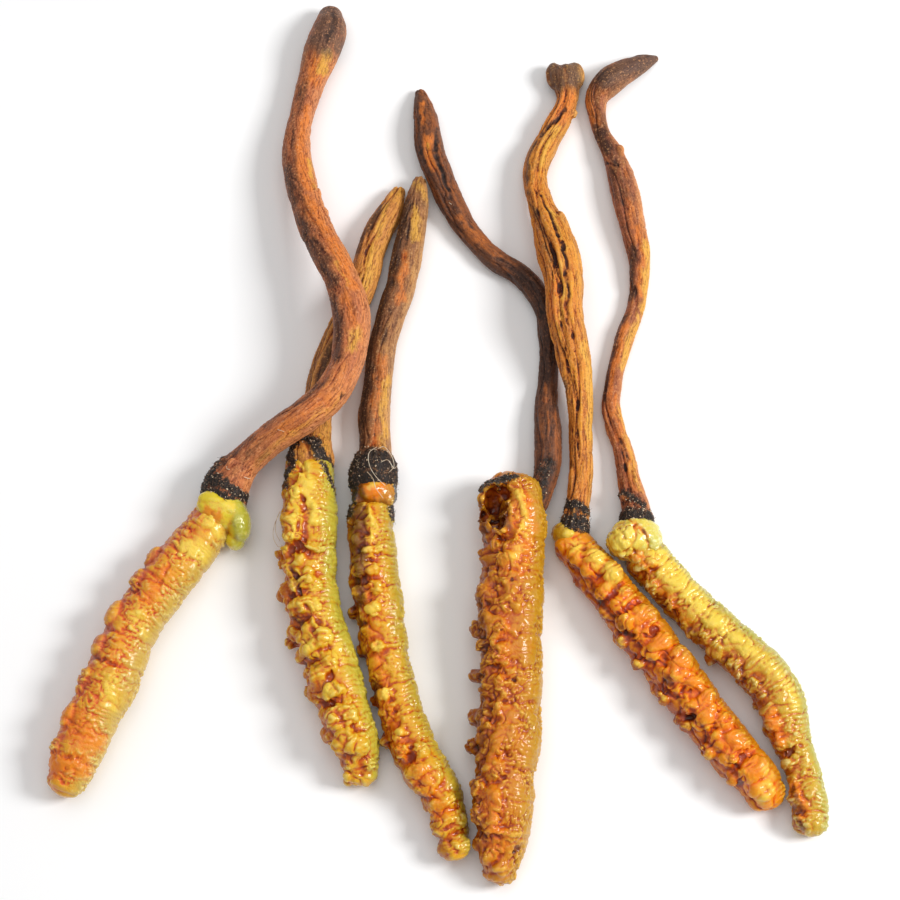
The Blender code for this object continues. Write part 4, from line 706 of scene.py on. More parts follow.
def relief_tree():
    """Grows lumps, creases, plates, rings and joints between segments on a skin."""
    tree, start, end = new_tree("Wrinkled skin", {"Seed": 0.0, **LARVA_SKIN, "Material": None})
    size = {socket.name: Field(tree, socket) for socket in start.outputs if socket.type == "VALUE"}
    seed = size["Seed"]
    growth = attribute(tree, "growth", "FLOAT_VECTOR")
    leftness = attribute(tree, "leftness")
    split = add_node(tree, "ShaderNodeSeparateXYZ", {0: growth})
    along = Field(tree, split.outputs[2])
    apart = seed * SEED_STEP
    across = Field(tree, split.outputs[0]) + apart
    squeezed = add_node(tree, "ShaderNodeCombineXYZ",
                        {0: across, 1: split.outputs[1], 2: along * size["Stretch"]})
    even = add_node(tree, "ShaderNodeCombineXYZ", {0: across, 1: split.outputs[1], 2: along})
    place = warped(tree, squeezed.outputs[0], LUMP_WARP, seed, LUMP_WARP_REACH)
    close = warped(tree, even.outputs[0], PEBBLE_WARP, seed, PEBBLE_WARP_REACH)
    left = leftness.ramp(-0.6, 0.4)
    lumps = domes(tree, place, size["Lump Size"])
    creases = noise(tree, place, size["Crease Size"], seed, 1.0).valley(0.09)
    wrinkles = noise(tree, place, size["Plate Size"], seed + 2.0, 1.0).valley(0.12)
    plates = domes(tree, place, size["Plate Size"])
    pebbles = domes(tree, close, size["Pebble Size"])
    drift = noise(tree, growth, DRIFT_SIZE, seed, 1.0)
    wave = ((along / size["Ring Spacing"] + drift * 1.4) * math.pi).maths("SINE").maths("ABSOLUTE")
    ring_patches = noise(tree, growth, RING_PATCH, seed + 5.0).ramp(-0.6, 0.2)
    ring_share = ring_patches * left.ramp(0.0, 1.0, 1.0, 0.1)
    rings = (wave.maths("POWER", 0.7) - 1.0) * ring_share
    turn = (along / size["Segment Length"] + drift * 0.15).maths("FRACT")
    joint = (turn - 0.5).valley(0.07)
    lump_share = left.ramp(0.0, 1.0, 0.25, 1.0)
    rough_share = noise(tree, growth, ROUGH_PATCH, seed + 9.0).ramp(-0.4, 0.4, 0.1, 1.2)
    soil = attribute(tree, "soil").ramp(0.25, 0.6)
    crust = noise(tree, growth, CRUST_SIZE, seed, 3.0, 0.7).ramp(-0.5, 0.7) * soil
    relief = (noise(tree, growth, WOBBLE_SIZE, seed) * size["Wobble Depth"]
              + (lumps - 0.5) * lump_share * size["Lump Depth"]
              - creases * lump_share * size["Crease Depth"]
              - wrinkles * rough_share * size["Plate Depth"] * 0.6
              + (plates - 0.6) * rough_share * size["Plate Depth"]
              + (pebbles - 0.6) * rough_share * size["Pebble Depth"]
              + rings * size["Ring Depth"]
              - joint * size["Segment Depth"]
              + noise(tree, growth, GRAIN_SIZE, seed, 1.0) * size["Grain Depth"])
    relief = relief * attribute(tree, "grey").ramp(0.1, 0.8, 1.0, 0.3) + crust * CRUST_HEIGHT
    crack = (lumps.ramp(0.35, 0.0) * lump_share * 0.9).maths("MAXIMUM", creases * lump_share)
    crack = crack.maths("MAXIMUM", wrinkles * rough_share * 0.6)
    normal = add_node(tree, "GeometryNodeInputNormal")
    offset = add_node(tree, "ShaderNodeVectorMath", {0: normal.outputs[0], "Scale": relief},
                      operation="SCALE")
    moved = add_node(tree, "GeometryNodeSetPosition",
                     {"Geometry": start.outputs["Geometry"], "Offset": offset.outputs[0]})
    marked = add_node(tree, "GeometryNodeStoreNamedAttribute",
                      {"Geometry": moved.outputs[0], "Name": "crack"}, data_type="FLOAT", domain="POINT")
    connect(tree, marked.inputs["Value"], crack)
    return close_tree(tree, start, end, marked.outputs[0])


def scattered(tree, skin, density, seed, shape, turns, scale, reach):
    """Copies of a shape scattered over the soiled part of a skin, each with a shade of its own."""
    low, high = reach
    chance = attribute(tree, "soil").ramp(low, high) * density
    points = add_node(tree, "GeometryNodeDistributePointsOnFaces", {"Mesh": skin}, distribute_method="RANDOM")
    connect(tree, points.inputs["Density"], chance)
    connect(tree, points.inputs["Seed"], seed)
    turned = add_node(tree, "FunctionNodeRotateRotation",
                      {"Rotation": points.outputs["Rotation"], "Rotate By": turns}, rotation_space="LOCAL")
    placed = add_node(tree, "GeometryNodeInstanceOnPoints",
                      {"Points": points.outputs["Points"], "Instance": shape,
                       "Rotation": turned.outputs[0], "Scale": scale})
    shade = add_node(tree, "FunctionNodeRandomValue", {"Seed": 7}, data_type="FLOAT")
    tinted = add_node(tree, "GeometryNodeStoreNamedAttribute",
                      {"Geometry": placed.outputs[0], "Name": "shade", "Value": shade.outputs[1]},
                      data_type="FLOAT", domain="INSTANCE")
    return tinted.outputs[0]


def random_vector(tree, low, high, seed):
    """A random vector for each copy."""
    node = add_node(tree, "FunctionNodeRandomValue", {"Min": low, "Max": high, "Seed": seed},
                    data_type="FLOAT_VECTOR")
    return node.outputs["Value"]


# Least and most of what differs from copy to copy: scales, and turns in radians
FULL_TURN = 2.0 * math.pi
GRAIN_SCALES = ((0.3, 0.3, 0.3), (1.5, 1.1, 0.9))
GRAIN_TURNS = ((0.0, 0.0, 0.0), (FULL_TURN, FULL_TURN, FULL_TURN))
FIBRE_SCALES = ((0.6, 0.6, 0.4), (1.2, 1.2, 1.5))
FIBRE_LEANS = ((1.3, -0.3, 0.0), (1.75, 0.3, FULL_TURN))
FIBRE_RADIUS = 0.016


def grain_tree():
    """Scatters irregular grains and short fibres over the soiled part of a skin."""
    tree, start, end = new_tree("Soil grains", {
        "Seed": 0.0, "Density": 14.0, "Grain Size": 0.11, "Fibre Density": 5.0, "Fibre Length": 0.8,
        "Material": None})
    skin = start.outputs["Geometry"]
    seed = Field(tree, start.outputs["Seed"])
    grain = add_node(tree, "GeometryNodeMeshIcoSphere", {"Radius": 1.0, "Subdivisions": 1})
    sized = add_node(tree, "ShaderNodeVectorMath",
                     {0: random_vector(tree, *GRAIN_SCALES, 3), "Scale": start.outputs["Grain Size"]},
                     operation="SCALE")
    turns = random_vector(tree, *GRAIN_TURNS, 5)
    density = Field(tree, start.outputs["Density"])
    grains = scattered(tree, skin, density, seed, grain.outputs["Mesh"], turns, sized.outputs[0], (0.15, 0.8))
    fibre = add_node(tree, "GeometryNodeMeshCylinder",
                     {"Vertices": 4, "Radius": FIBRE_RADIUS, "Depth": start.outputs["Fibre Length"]})
    lean = random_vector(tree, *FIBRE_LEANS, 11)
    stretch = random_vector(tree, *FIBRE_SCALES, 13)
    density = Field(tree, start.outputs["Fibre Density"])
    fibres = scattered(tree, skin, density, seed + 50.0, fibre.outputs["Mesh"], lean, stretch, (0.2, 0.7))
    both = add_node(tree, "GeometryNodeJoinGeometry")
    tree.links.new(grains, both.inputs[0])
    tree.links.new(fibres, both.inputs[0])
    return close_tree(tree, start, end, both.outputs[0])


def evaluated_copy(item):
    """The object's mesh with its modifiers applied."""
    bpy.context.view_layer.update()
    depsgraph = bpy.context.evaluated_depsgraph_get()
    return bpy.data.meshes.new_from_object(item.evaluated_get(depsgraph))


def run_tree(item, tree, values):
    """Put a tree on an object, set its inputs, and keep the result as a plain mesh."""
    grow = item.modifiers.new(tree.name, "NODES")
    grow.node_group = tree
    sockets = [entry for entry in tree.interface.items_tree if entry.item_type == "SOCKET"]
    names = {entry.name: entry.identifier for entry in sockets if entry.in_out == "INPUT"}
    for name, value in values.items():
        grow[names[name]] = value
    item.data = evaluated_copy(item)
    item.modifiers.clear()


def smooth_path(points, step, axes):
    """Points at even steps on a smooth curve, whose length is measured over the first axes."""
    points = np.array(points, dtype=float)
    steps = np.linalg.norm(np.diff(points[:, :axes], axis=0), axis=1)
    reach = np.concatenate([[0.0], np.cumsum(steps)])
    slopes = np.gradient(points, reach, axis=0)
    places = np.linspace(0.0, reach[-1], int(math.ceil(reach[-1] / step)) + 1)
    left = np.clip(np.searchsorted(reach, places, side="right") - 1, 0, len(points) - 2)
    span = reach[left + 1] - reach[left]
    part = ((places - reach[left]) / span)[:, None]
    span = span[:, None]
    return ((2 * part ** 3 - 3 * part ** 2 + 1) * points[left]
            + (part ** 3 - 2 * part ** 2 + part) * span * slopes[left]
            + (3 * part ** 2 - 2 * part ** 3) * points[left + 1]
            + (part ** 3 - part ** 2) * span * slopes[left + 1])


def unit(vectors):
    """The vectors at length 1."""
    return vectors / np.linalg.norm(vectors, axis=-1, keepdims=True)


# Distance between the points of a centreline, in millimetres, and how many vertices are measured
# at once
PATH_STEP = 0.2
MEASURED_AT_ONCE = 4000


class Spine:
    """A centreline in world millimetres, with its directions and radii."""

    def __init__(self, points, sink, height_share):
        path = smooth_path(points, PATH_STEP, 2)
        self.radii = path[:, 2]
        self.height_share = height_share
        self.centres = np.column_stack([path[:, 0] - LAYOUT_CENTRE[0], path[:, 1] - LAYOUT_CENTRE[1],
                                        path[:, 3] + path[:, 2] * height_share - sink])
        self.tangents = unit(np.gradient(self.centres, axis=0))
        self.sides = unit(np.cross(self.tangents, (0.0, 0.0, 1.0)))
        self.ups = np.cross(self.sides, self.tangents)
        gaps = np.linalg.norm(np.diff(self.centres, axis=0), axis=1)
        self.places = np.concatenate([[0.0], np.cumsum(gaps)])

    def shell(self):
        """The tube around the centreline."""
        return tube(self.centres, self.tangents, self.radii, self.height_share)

    def point_at(self, along):
        """The number of the centreline's point at a place along it."""
        return int(np.clip(np.searchsorted(self.places, along), 0, len(self.places) - 1))

    def on_skin(self, along, across, height=0.0):
        """A point over the upper skin, the direction out of it, and the heading there."""
        k = self.point_at(along)
        up = math.sqrt(max(0.0, 1.0 - across * across))
        point = (self.centres[k] + self.sides[k] * across * self.radii[k]
                 + self.ups[k] * up * self.radii[k] * self.height_share
                 + self.tangents[k] * (along - self.places[k]))
        out = unit(self.sides[k] * across * self.height_share + self.ups[k] * up)
        return point + out * height, out, self.tangents[k]

    def measure(self, points):
        """For each point: distance along, offsets to the side and up, and the radius there."""
        nearest = np.empty(len(points), dtype=int)
        for first in range(0, len(points), MEASURED_AT_ONCE):
            block = slice(first, first + MEASURED_AT_ONCE)
            gaps = ((points[block, None, :] - self.centres[None, :, :]) ** 2).sum(axis=2)
            nearest[block] = gaps.argmin(axis=1)
        away = points - self.centres[nearest]
        along = self.places[nearest] + (away * self.tangents[nearest]).sum(axis=1)
        side = (away * self.sides[nearest]).sum(axis=1)
        up = (away * self.ups[nearest]).sum(axis=1)
        return along, side, up, self.radii[nearest]


# A tube: points around it, rings in its round ends, how far those reach and where they stop
TUBE_SIDES = 48
CAP_RINGS = 8
END_REACH = 0.75
END_TIP = 0.02


def tube(centres, tangents, radii, height_share=1.0, corners=TUBE_SIDES):
    """Vertices and faces of a closed tube with domed ends."""
    turns = np.linspace(0.0, 0.5 * math.pi, CAP_RINGS + 1)[1:]
    out = np.sin(turns) * END_REACH
    shrink = np.maximum(np.cos(turns), END_TIP)
    heads = centres[0] - np.outer(out[::-1], tangents[0]) * radii[0]
    tails = centres[-1] + np.outer(out, tangents[-1]) * radii[-1]
    centres = np.vstack([heads, centres, tails])
    radii = np.concatenate([radii[0] * shrink[::-1], radii, radii[-1] * shrink])
    tangents = np.vstack([[tangents[0]] * CAP_RINGS, tangents, [tangents[-1]] * CAP_RINGS])
    sides = unit(np.cross(tangents, (0.0, 0.0, 1.0)))
    ups = np.cross(sides, tangents)
    angles = np.linspace(0.0, 2.0 * math.pi, corners, endpoint=False)
    rings = (centres[:, None, :]
             + np.cos(angles)[None, :, None] * sides[:, None, :] * radii[:, None, None]
             + np.sin(angles)[None, :, None] * ups[:, None, :] * radii[:, None, None] * height_share)
    faces = []
    for ring in range(len(centres) - 1):
        low = ring * corners
        high = low + corners
        for k in range(corners):
            after = (k + 1) % corners
            faces.append((low + k, low + after, high + after, high + k))
    first = len(centres) * corners
    top = first - corners
    for k in range(corners):
        after = (k + 1) % corners
        faces.append((first, after, k))
        faces.append((first + 1, top + k, top + after))
    vertices = np.vstack([rings.reshape(-1, 3), centres[0], centres[-1]])
    return vertices, faces


# How many faces a ball has around it and from pole to pole
BALL_SIDES = 28
BALL_RINGS = 14


def ball(centre, radii, axes):
    """Vertices and faces of an ellipsoid whose three radii lie on three given axes."""
    shape = bmesh.new()
    bmesh.ops.create_uvsphere(shape, u_segments=BALL_SIDES, v_segments=BALL_RINGS, radius=1.0)
    shape.verts.index_update()
    vertices = np.array([tuple(vertex.co) for vertex in shape.verts])
    faces = [tuple(vertex.index for vertex in face.verts) for face in shape.faces]
    shape.free()
    return np.array(centre) + (vertices * np.array(radii)) @ np.array(axes), faces


def turned_axes(turn):
    """Three axes turned about z by an angle in degrees."""
    angle = math.radians(turn)
    return np.array(((math.cos(angle), math.sin(angle), 0.0), (-math.sin(angle), math.cos(angle), 0.0),
                     (0.0, 0.0, 1.0)))


def in_world(place):
    """A place given in the coordinates of the centrelines, in world millimetres."""
    return np.array((place[0] - LAYOUT_CENTRE[0], place[1] - LAYOUT_CENTRE[1], place[2]))


def layout_ball(centre, radii, turn):
    """An ellipsoid given in the coordinates of the centrelines."""
    return ball(in_world(centre), radii, turned_axes(turn))


FOOT_RADIUS = 0.8
FOOT_ROOT_RADIUS = 1.6
FOOT_RINGS = 12


def foot(spine, tip):
    """A blunt foot from the larva's centreline out to its tip."""
    tip = in_world(tip)
    nearest = np.argmin(np.linalg.norm(spine.centres[:, :2] - tip[:2], axis=1))
    root = spine.centres[nearest]
    reach = np.linalg.norm(tip - root)
    heading = (tip - root) / reach
    places = np.linspace(0.0, reach - FOOT_RADIUS * END_REACH, FOOT_RINGS)
    radii = np.linspace(FOOT_ROOT_RADIUS, FOOT_RADIUS, FOOT_RINGS)
    return tube(root + np.outer(places, heading), np.repeat([heading], FOOT_RINGS, axis=0), radii)


LUMP_SINK = 0.03


def lump(spine, along, across, long_radius, wide_radius, out_radius, twist):
    """A flattened ball set into the upper skin."""
    point, out, heading = spine.on_skin(along, across, -LUMP_SINK)
    side = np.cross(heading, out)
    angle = math.radians(twist)
    first = heading * math.cos(angle) + side * math.sin(angle)
    return ball(point, (long_radius, wide_radius, out_radius), (first, np.cross(out, first), out))


# Least and most of what differs from bead to bead, with the twist in degrees
BEAD_SIZE = (0.7, 1.25)
BEAD_ACROSS = (-0.12, 0.12)
BEAD_ALONG = (-0.5, 0.5)
BEAD_WIDTH = (0.8, 1.2)
BEAD_HEIGHT = (0.5, 0.85)
BEAD_TWIST = (-40.0, 40.0)


def bead_row(spine, first, last, spacing, across, radius, random):
    """Lumps of uneven sizes in a row along a flank."""
    lumps = []
    for place in np.arange(first, last, spacing):
        size = radius * random.uniform(*BEAD_SIZE)
        side = across + random.uniform(*BEAD_ACROSS)
        along = place + random.uniform(*BEAD_ALONG)
        width = size * random.uniform(*BEAD_WIDTH)
        height = size * random.uniform(*BEAD_HEIGHT)
        lumps.append(lump(spine, along, side, size, width, height, random.uniform(*BEAD_TWIST)))
    return lumps


def new_object(name, shells):
    """An object made of closed shells."""
    vertices = []
    faces = []
    for shell_vertices, shell_faces in shells:
        start = len(vertices)
        vertices.extend(shell_vertices.tolist())
        faces.extend(tuple(corner + start for corner in face) for face in shell_faces)
    mesh = bpy.data.meshes.new(name)
    mesh.from_pydata(vertices, [], faces)
    item = bpy.data.objects.new(name, mesh)
    bpy.context.collection.objects.link(item)
    return item


def even_skin(item, voxel):
    """Give the object one closed skin of even small faces."""
    remesh = item.modifiers.new("Skin", "REMESH")
    remesh.mode = "VOXEL"
    remesh.voxel_size = voxel
    item.data = evaluated_copy(item)
    item.modifiers.clear()


def read_points(mesh):
    """The mesh's vertices as an array."""
    points = np.empty(len(mesh.vertices) * 3)
    mesh.vertices.foreach_get("co", points)
    return points.reshape(-1, 3)


def write_points(mesh, points):
    """Put an array of vertices back in the mesh."""
    mesh.vertices.foreach_set("co", points.ravel())
    mesh.update()


def read_normals(mesh):
    """The mesh's vertex normals as an array."""
    normals = np.empty(len(mesh.vertices) * 3)
    mesh.vertex_normals.foreach_get("vector", normals)
    return normals.reshape(-1, 3)


def read_edges(mesh):
    """The mesh's edges as an array of vertex pairs."""
    edges = np.empty(len(mesh.edges) * 2, dtype=np.int32)
    mesh.edges.foreach_get("vertices", edges)
    return edges.reshape(-1, 2)


def relaxed(points, edges, rounds):
    """The points after each has moved towards its neighbours' middle a number of times."""
    ends = np.concatenate([edges[:, 0], edges[:, 1]])
    others = np.concatenate([edges[:, 1], edges[:, 0]])
    counts = np.bincount(ends, minlength=len(points))[:, None]
    for _ in range(rounds):
        sums = np.column_stack([np.bincount(ends, points[others, k], len(points)) for k in range(3)])
        points = 0.5 * points + 0.5 * sums / counts
    return points


def store(mesh, name, values, kind="FLOAT"):
    """Keep a value for each vertex as a named attribute."""
    layer = mesh.attributes.get(name) or mesh.attributes.new(name, kind, "POINT")
    layer.data.foreach_set("vector" if kind == "FLOAT_VECTOR" else "value", values.astype(np.float32).ravel())


def hollow_out(item, centre, radii, turn, voxel):
    """Push the skin that lies inside an ellipsoid down to the ellipsoid's underside."""
    points = read_points(item.data)
    local = ((points - in_world(centre)) @ turned_axes(turn).T) / np.array(radii)
    flat = (local[:, :2] ** 2).sum(axis=1)
    floor = -np.sqrt(np.maximum(0.0, 1.0 - flat))
    inside = (flat < 1.0) & (local[:, 2] > floor)
    points[inside, 2] = in_world(centre)[2] + floor[inside] * radii[2]
    write_points(item.data, points)
    even_skin(item, voxel)


# How far a mark strays from its straight line and how far apart its bends are, in millimetres
WANDER = 0.3
BEND = 0.9
# How many bends are drawn, which of them lies at 0, and how far they slant to the side
BEND_COUNT = 500
FIRST_BEND = 50.0
BEND_SLANT = 0.7
# How deep a press mark of strength 1 goes, and from which width on a mark is unbroken, in millimetres
PRESS_DEPTH = 0.6
BROAD_MARK = 0.45
# Least and most share of its strength that a thin mark keeps, and how much closer its gaps are
THIN_SHARE = (0.35, 1.15)
GAP_RATE = 1.6


def uneven(along, side, low, high, seed):
    """Random values that change along a skin from one bend to the next."""
    values = np.random.default_rng(seed).uniform(low, high, BEND_COUNT)
    return np.interp((along + side * BEND_SLANT) / BEND + FIRST_BEND, np.arange(BEND_COUNT), values)


def mark_skin(mesh, spine, marks):
    """Store where each vertex is on the piece, and press and stain the skin where it is marked."""
    points = read_points(mesh)
    along, side, up, radii = spine.measure(points)
    top = np.clip(up / radii + 0.6, 0.0, 1.0)
    stray_along = uneven(side * 3.0, along, -1.0, 1.0, 1)
    stray_side = uneven(along, side, -1.0, 1.0, 2)
    stray = np.column_stack([stray_along, stray_side]) * WANDER
    patches = uneven(along * GAP_RATE, side, *THIN_SHARE, 3)
    inwards = np.zeros(len(points))
    stains_and_light = {kind: np.zeros(len(points)) for kind in MARK_KINDS}
    for kind, along_1, across_1, along_2, across_2, width, strength in marks:
        radius = spine.radii[spine.point_at(along_1)]
        start = np.array((along_1, across_1 * radius))
        run = np.array((along_2, across_2 * radius)) - start
        here = np.column_stack([along, side]) + stray - start
        share = np.clip((here @ run) / max(run @ run, 1e-9), 0.0, 1.0)
        gap = np.linalg.norm(here - share[:, None] * run, axis=1)
        amount = strength * np.exp(-(gap / width) ** 2)
        if width < BROAD_MARK:
            amount *= patches
        if kind not in ALL_ROUND:
            amount *= top
        if kind in ("press", "pit"):
            inwards = np.maximum(inwards, amount * PRESS_DEPTH)
        # A pit also takes the dark mark: painted shade in its recess
        if kind == "pit":
            stains_and_light["dark"] = np.maximum(stains_and_light["dark"], amount / strength)
        if kind in stains_and_light:
            stains_and_light[kind] = np.maximum(stains_and_light[kind], amount)
    write_points(mesh, points - read_normals(mesh) * inwards[:, None])
    store(mesh, "growth", np.column_stack([side, up, along]), "FLOAT_VECTOR")
    # How far left a vertex lies, 1 on the left edge: the materials paint shade on the left side and light on
    # the right
    store(mesh, "leftness", np.clip(side / radii, -1.4, 1.4))
    for kind in MARK_KINDS:
        store(mesh, kind, stains_and_light[kind])


# How deep a fine crevice and a broad fold are where their painted shade is full, and the rounds of
# smoothing that find them
FINE_DEPTH = 0.05
BROAD_DEPTH = 0.2
FINE_ROUNDS = 4
BROAD_ROUNDS = 44


def mark_hollows(mesh):
    """Store how deep each vertex lies in a fine crevice and in a broad fold."""
    points = read_points(mesh)
    normals = read_normals(mesh)
    edges = read_edges(mesh)
    near = relaxed(points, edges, FINE_ROUNDS)
    far = relaxed(near, edges, BROAD_ROUNDS)
    fine = ((near - points) * normals).sum(axis=1)
    broad = ((far - points) * normals).sum(axis=1)
    store(mesh, "hollow", np.clip(fine / FINE_DEPTH, -1.0, 1.0))
    store(mesh, "fold", np.clip(broad / BROAD_DEPTH, -1.0, 1.0))


def lay_on_table(mesh):
    """Bring what lies below the table up to it."""
    points = read_points(mesh)
    points[:, 2] = np.maximum(points[:, 2], 0.0)
    write_points(mesh, points)


def grow_skin(item, spine, marks, values, soften):
    """Take a bare fused shape to a wrinkled, marked skin, still in millimetres."""
    mesh = item.data
    write_points(mesh, relaxed(read_points(mesh), read_edges(mesh), soften))
    mark_skin(mesh, spine, marks)
    run_tree(item, shared_tree("Wrinkled skin", relief_tree), values)
    lay_on_table(item.data)
    mark_hollows(item.data)


def hand_over(item, nodes=()):
    """Bring a piece to metres and tell the frame what it is."""
    write_points(item.data, read_points(item.data) * MM)
    item.data.name = item.name
    item.data.shade_smooth()
    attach(item, "root")
    if nodes:
        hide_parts(*nodes)


def shader_field(tree, name):
    """A named attribute of the mesh, in a material."""
    node = add_node(tree, "ShaderNodeAttribute", attribute_name=name)
    return Field(tree, node.outputs["Fac"])


def blend(tree, share, first, second, mode="MIX"):
    """Two colours mixed by a share."""
    node = add_node(tree, "ShaderNodeMix", data_type="RGBA", blend_type=mode)
    connect(tree, node.inputs[0], share)
    for index, colour in ((6, first), (7, second)):
        connect(tree, node.inputs[index], (*colour, 1.0) if isinstance(colour, tuple) else colour)
    return node.outputs[2]


def new_material(name):
    """A material with its tree, its Principled shader and its Object coordinates."""
    material = bpy.data.materials.new(name)
    material.use_nodes = True
    tree = material.node_tree
    shader = tree.nodes["Principled BSDF"]
    where = add_node(tree, "ShaderNodeTexCoord").outputs["Object"]
    return material, tree, shader, where


def roughen(tree, shader, height, distance, strength):
    """Give a shader a bump from a height field."""
    bump = add_node(tree, "ShaderNodeBump", {"Distance": distance, "Strength": strength})
    connect(tree, bump.inputs["Height"], height)
    tree.links.new(bump.outputs[0], shader.inputs["Normal"])


def with_stains_and_light(tree, colour, stains_and_light, share, low, fleck):
    """A colour with its marks over it: the pale one, partly a painted highlight, keeps to the tops, the
    others to the hollows, where the dark one is partly painted shade.
    """
    for name, lean in (("blush", 0.2), ("bloom_and_highlight", -0.25), ("grey", 0.0), ("dark", 0.3)):
        mark = shader_field(tree, name)
        mask = (mark * 1.2 + fleck * 0.45 + low * lean).ramp(0.1, 1.0, 0.0, share) * mark.ramp(0.02, 0.3)
        colour = blend(tree, mask, colour, stains_and_light[name])
    return colour


# Sizes of the patterns in the colours, in metres, and those along a stalk in millimetres
SKIN_CLOUD = 0.0026
SKIN_MOTTLE = 0.0008
SKIN_FLECK = 0.0006
SKIN_FINE = 0.00016
STALK_CLOUD = 0.0045
STALK_MOTTLE = 0.0007
STALK_SPECK = 0.00022
STALK_FINE = 0.00012
SOIL_SPECK = 0.00018
THREAD_CLOUD = 0.0008
STREAK_WIDTH = 0.7
GROOVE_WIDTH = 0.34
# How high the finest grain of a skin and of a stalk stands, in metres, and how strongly it shows
SKIN_BUMP = 0.00004
STALK_BUMP = 0.00005
BUMP_STRENGTH = 0.9
# How much longer than wide the streaks are, as what is left of a place's distance along
STREAK_SQUEEZE = (1.0, 1.0, 0.14)
# What is the same all over a waxy skin
WAX = {"Subsurface Weight": 0.1, "Subsurface Radius": (1.0, 0.45, 0.08), "Subsurface Scale": 0.0005,
       "Specular IOR Level": 0.2, "Coat Roughness": 0.07}


def soiled(tree, where, colour, fleck):
    """A colour with the dark crust of soil over it."""
    speck = noise(tree, where, SOIL_SPECK, 5.0, 3.0, 0.7)
    crust = blend(tree, speck.ramp(0.1, 0.6), CRUST, CRUST_GRAIN)
    mask = (shader_field(tree, "soil") + fleck * 0.8 + speck * 0.5).ramp(0.3, 0.7)
    return blend(tree, mask, colour, crust)


def skin_material(name, tints, shading, roughness, coat, seed):
    """Waxy dried skin: a deep left side, the ventral colour deepened by painted shade, a pale back lit by
    painted light on the right, warm dark crevices in painted shade and painted highlights on the tops.
    """
    material, tree, shader, where = new_material(name)
    deep, orange, middle, back, pale = tints
    cloud = noise(tree, where, SKIN_CLOUD, seed, 2.0)
    mottle = noise(tree, where, SKIN_MOTTLE, seed + 3.0, 4.0, 0.6)
    fleck = noise(tree, where, SKIN_FLECK, seed + 6.0, 3.0, 0.65)
    leftness = shader_field(tree, "leftness")
    low = shader_field(tree, "fold") * 0.75 + shader_field(tree, "hollow") * 0.3
    # Orange patches at random, and orange as painted shade in folds and on the left side
    warm = low * 1.1 + cloud * 0.5 + mottle * 0.6 + leftness * 0.25
    colour = blend(tree, warm.ramp(-0.35, 0.6), middle, orange)
    # The deep colour on the left side: partly the ventral colour, partly painted shade
    left = leftness + cloud * 0.4 + mottle * 0.35 + low * 0.3
    colour = blend(tree, left.ramp(0.45, 1.2, 0.0, 0.85), colour, deep)
    # The back colour on the right side: painted light from the right
    right = cloud * 0.4 + mottle * 0.3 - leftness - low * 0.3
    colour = blend(tree, right.ramp(0.2, 0.95, 0.0, 0.85), colour, back)
    # Painted highlights: the pale colour on the tops of lumps, more on the right side
    tops = mottle * 0.6 - low - leftness * 0.15
    colour = blend(tree, tops.ramp(0.3, 0.9, 0.0, 0.6), colour, pale)
    colour = with_stains_and_light(tree, colour, SKIN_STAINS_AND_LIGHT, 0.8, low, fleck)
    # Painted shade: folds and crevices darkened, warm where shallow and darker where deep
    depth = low + shader_field(tree, "crack") * 0.25
    colour = blend(tree, depth.ramp(-0.05, 0.7, 0.0, shading), colour, SHALLOW_SHADE, "MULTIPLY")
    colour = blend(tree, depth.ramp(0.45, 1.2, 0.0, shading), colour, CREVICE_SHADE, "MULTIPLY")
    connect(tree, shader.inputs["Base Color"], soiled(tree, where, colour, fleck))
    fine = noise(tree, where, SKIN_FINE, seed, 2.0)
    connect(tree, shader.inputs["Roughness"], fine * 0.15 + roughness + shader_field(tree, "soil") * 0.4)
    for label, value in WAX.items():
        shader.inputs[label].default_value = value
    shader.inputs["Coat Weight"].default_value = coat
    roughen(tree, shader, fine, SKIN_BUMP, BUMP_STRENGTH)
    return material


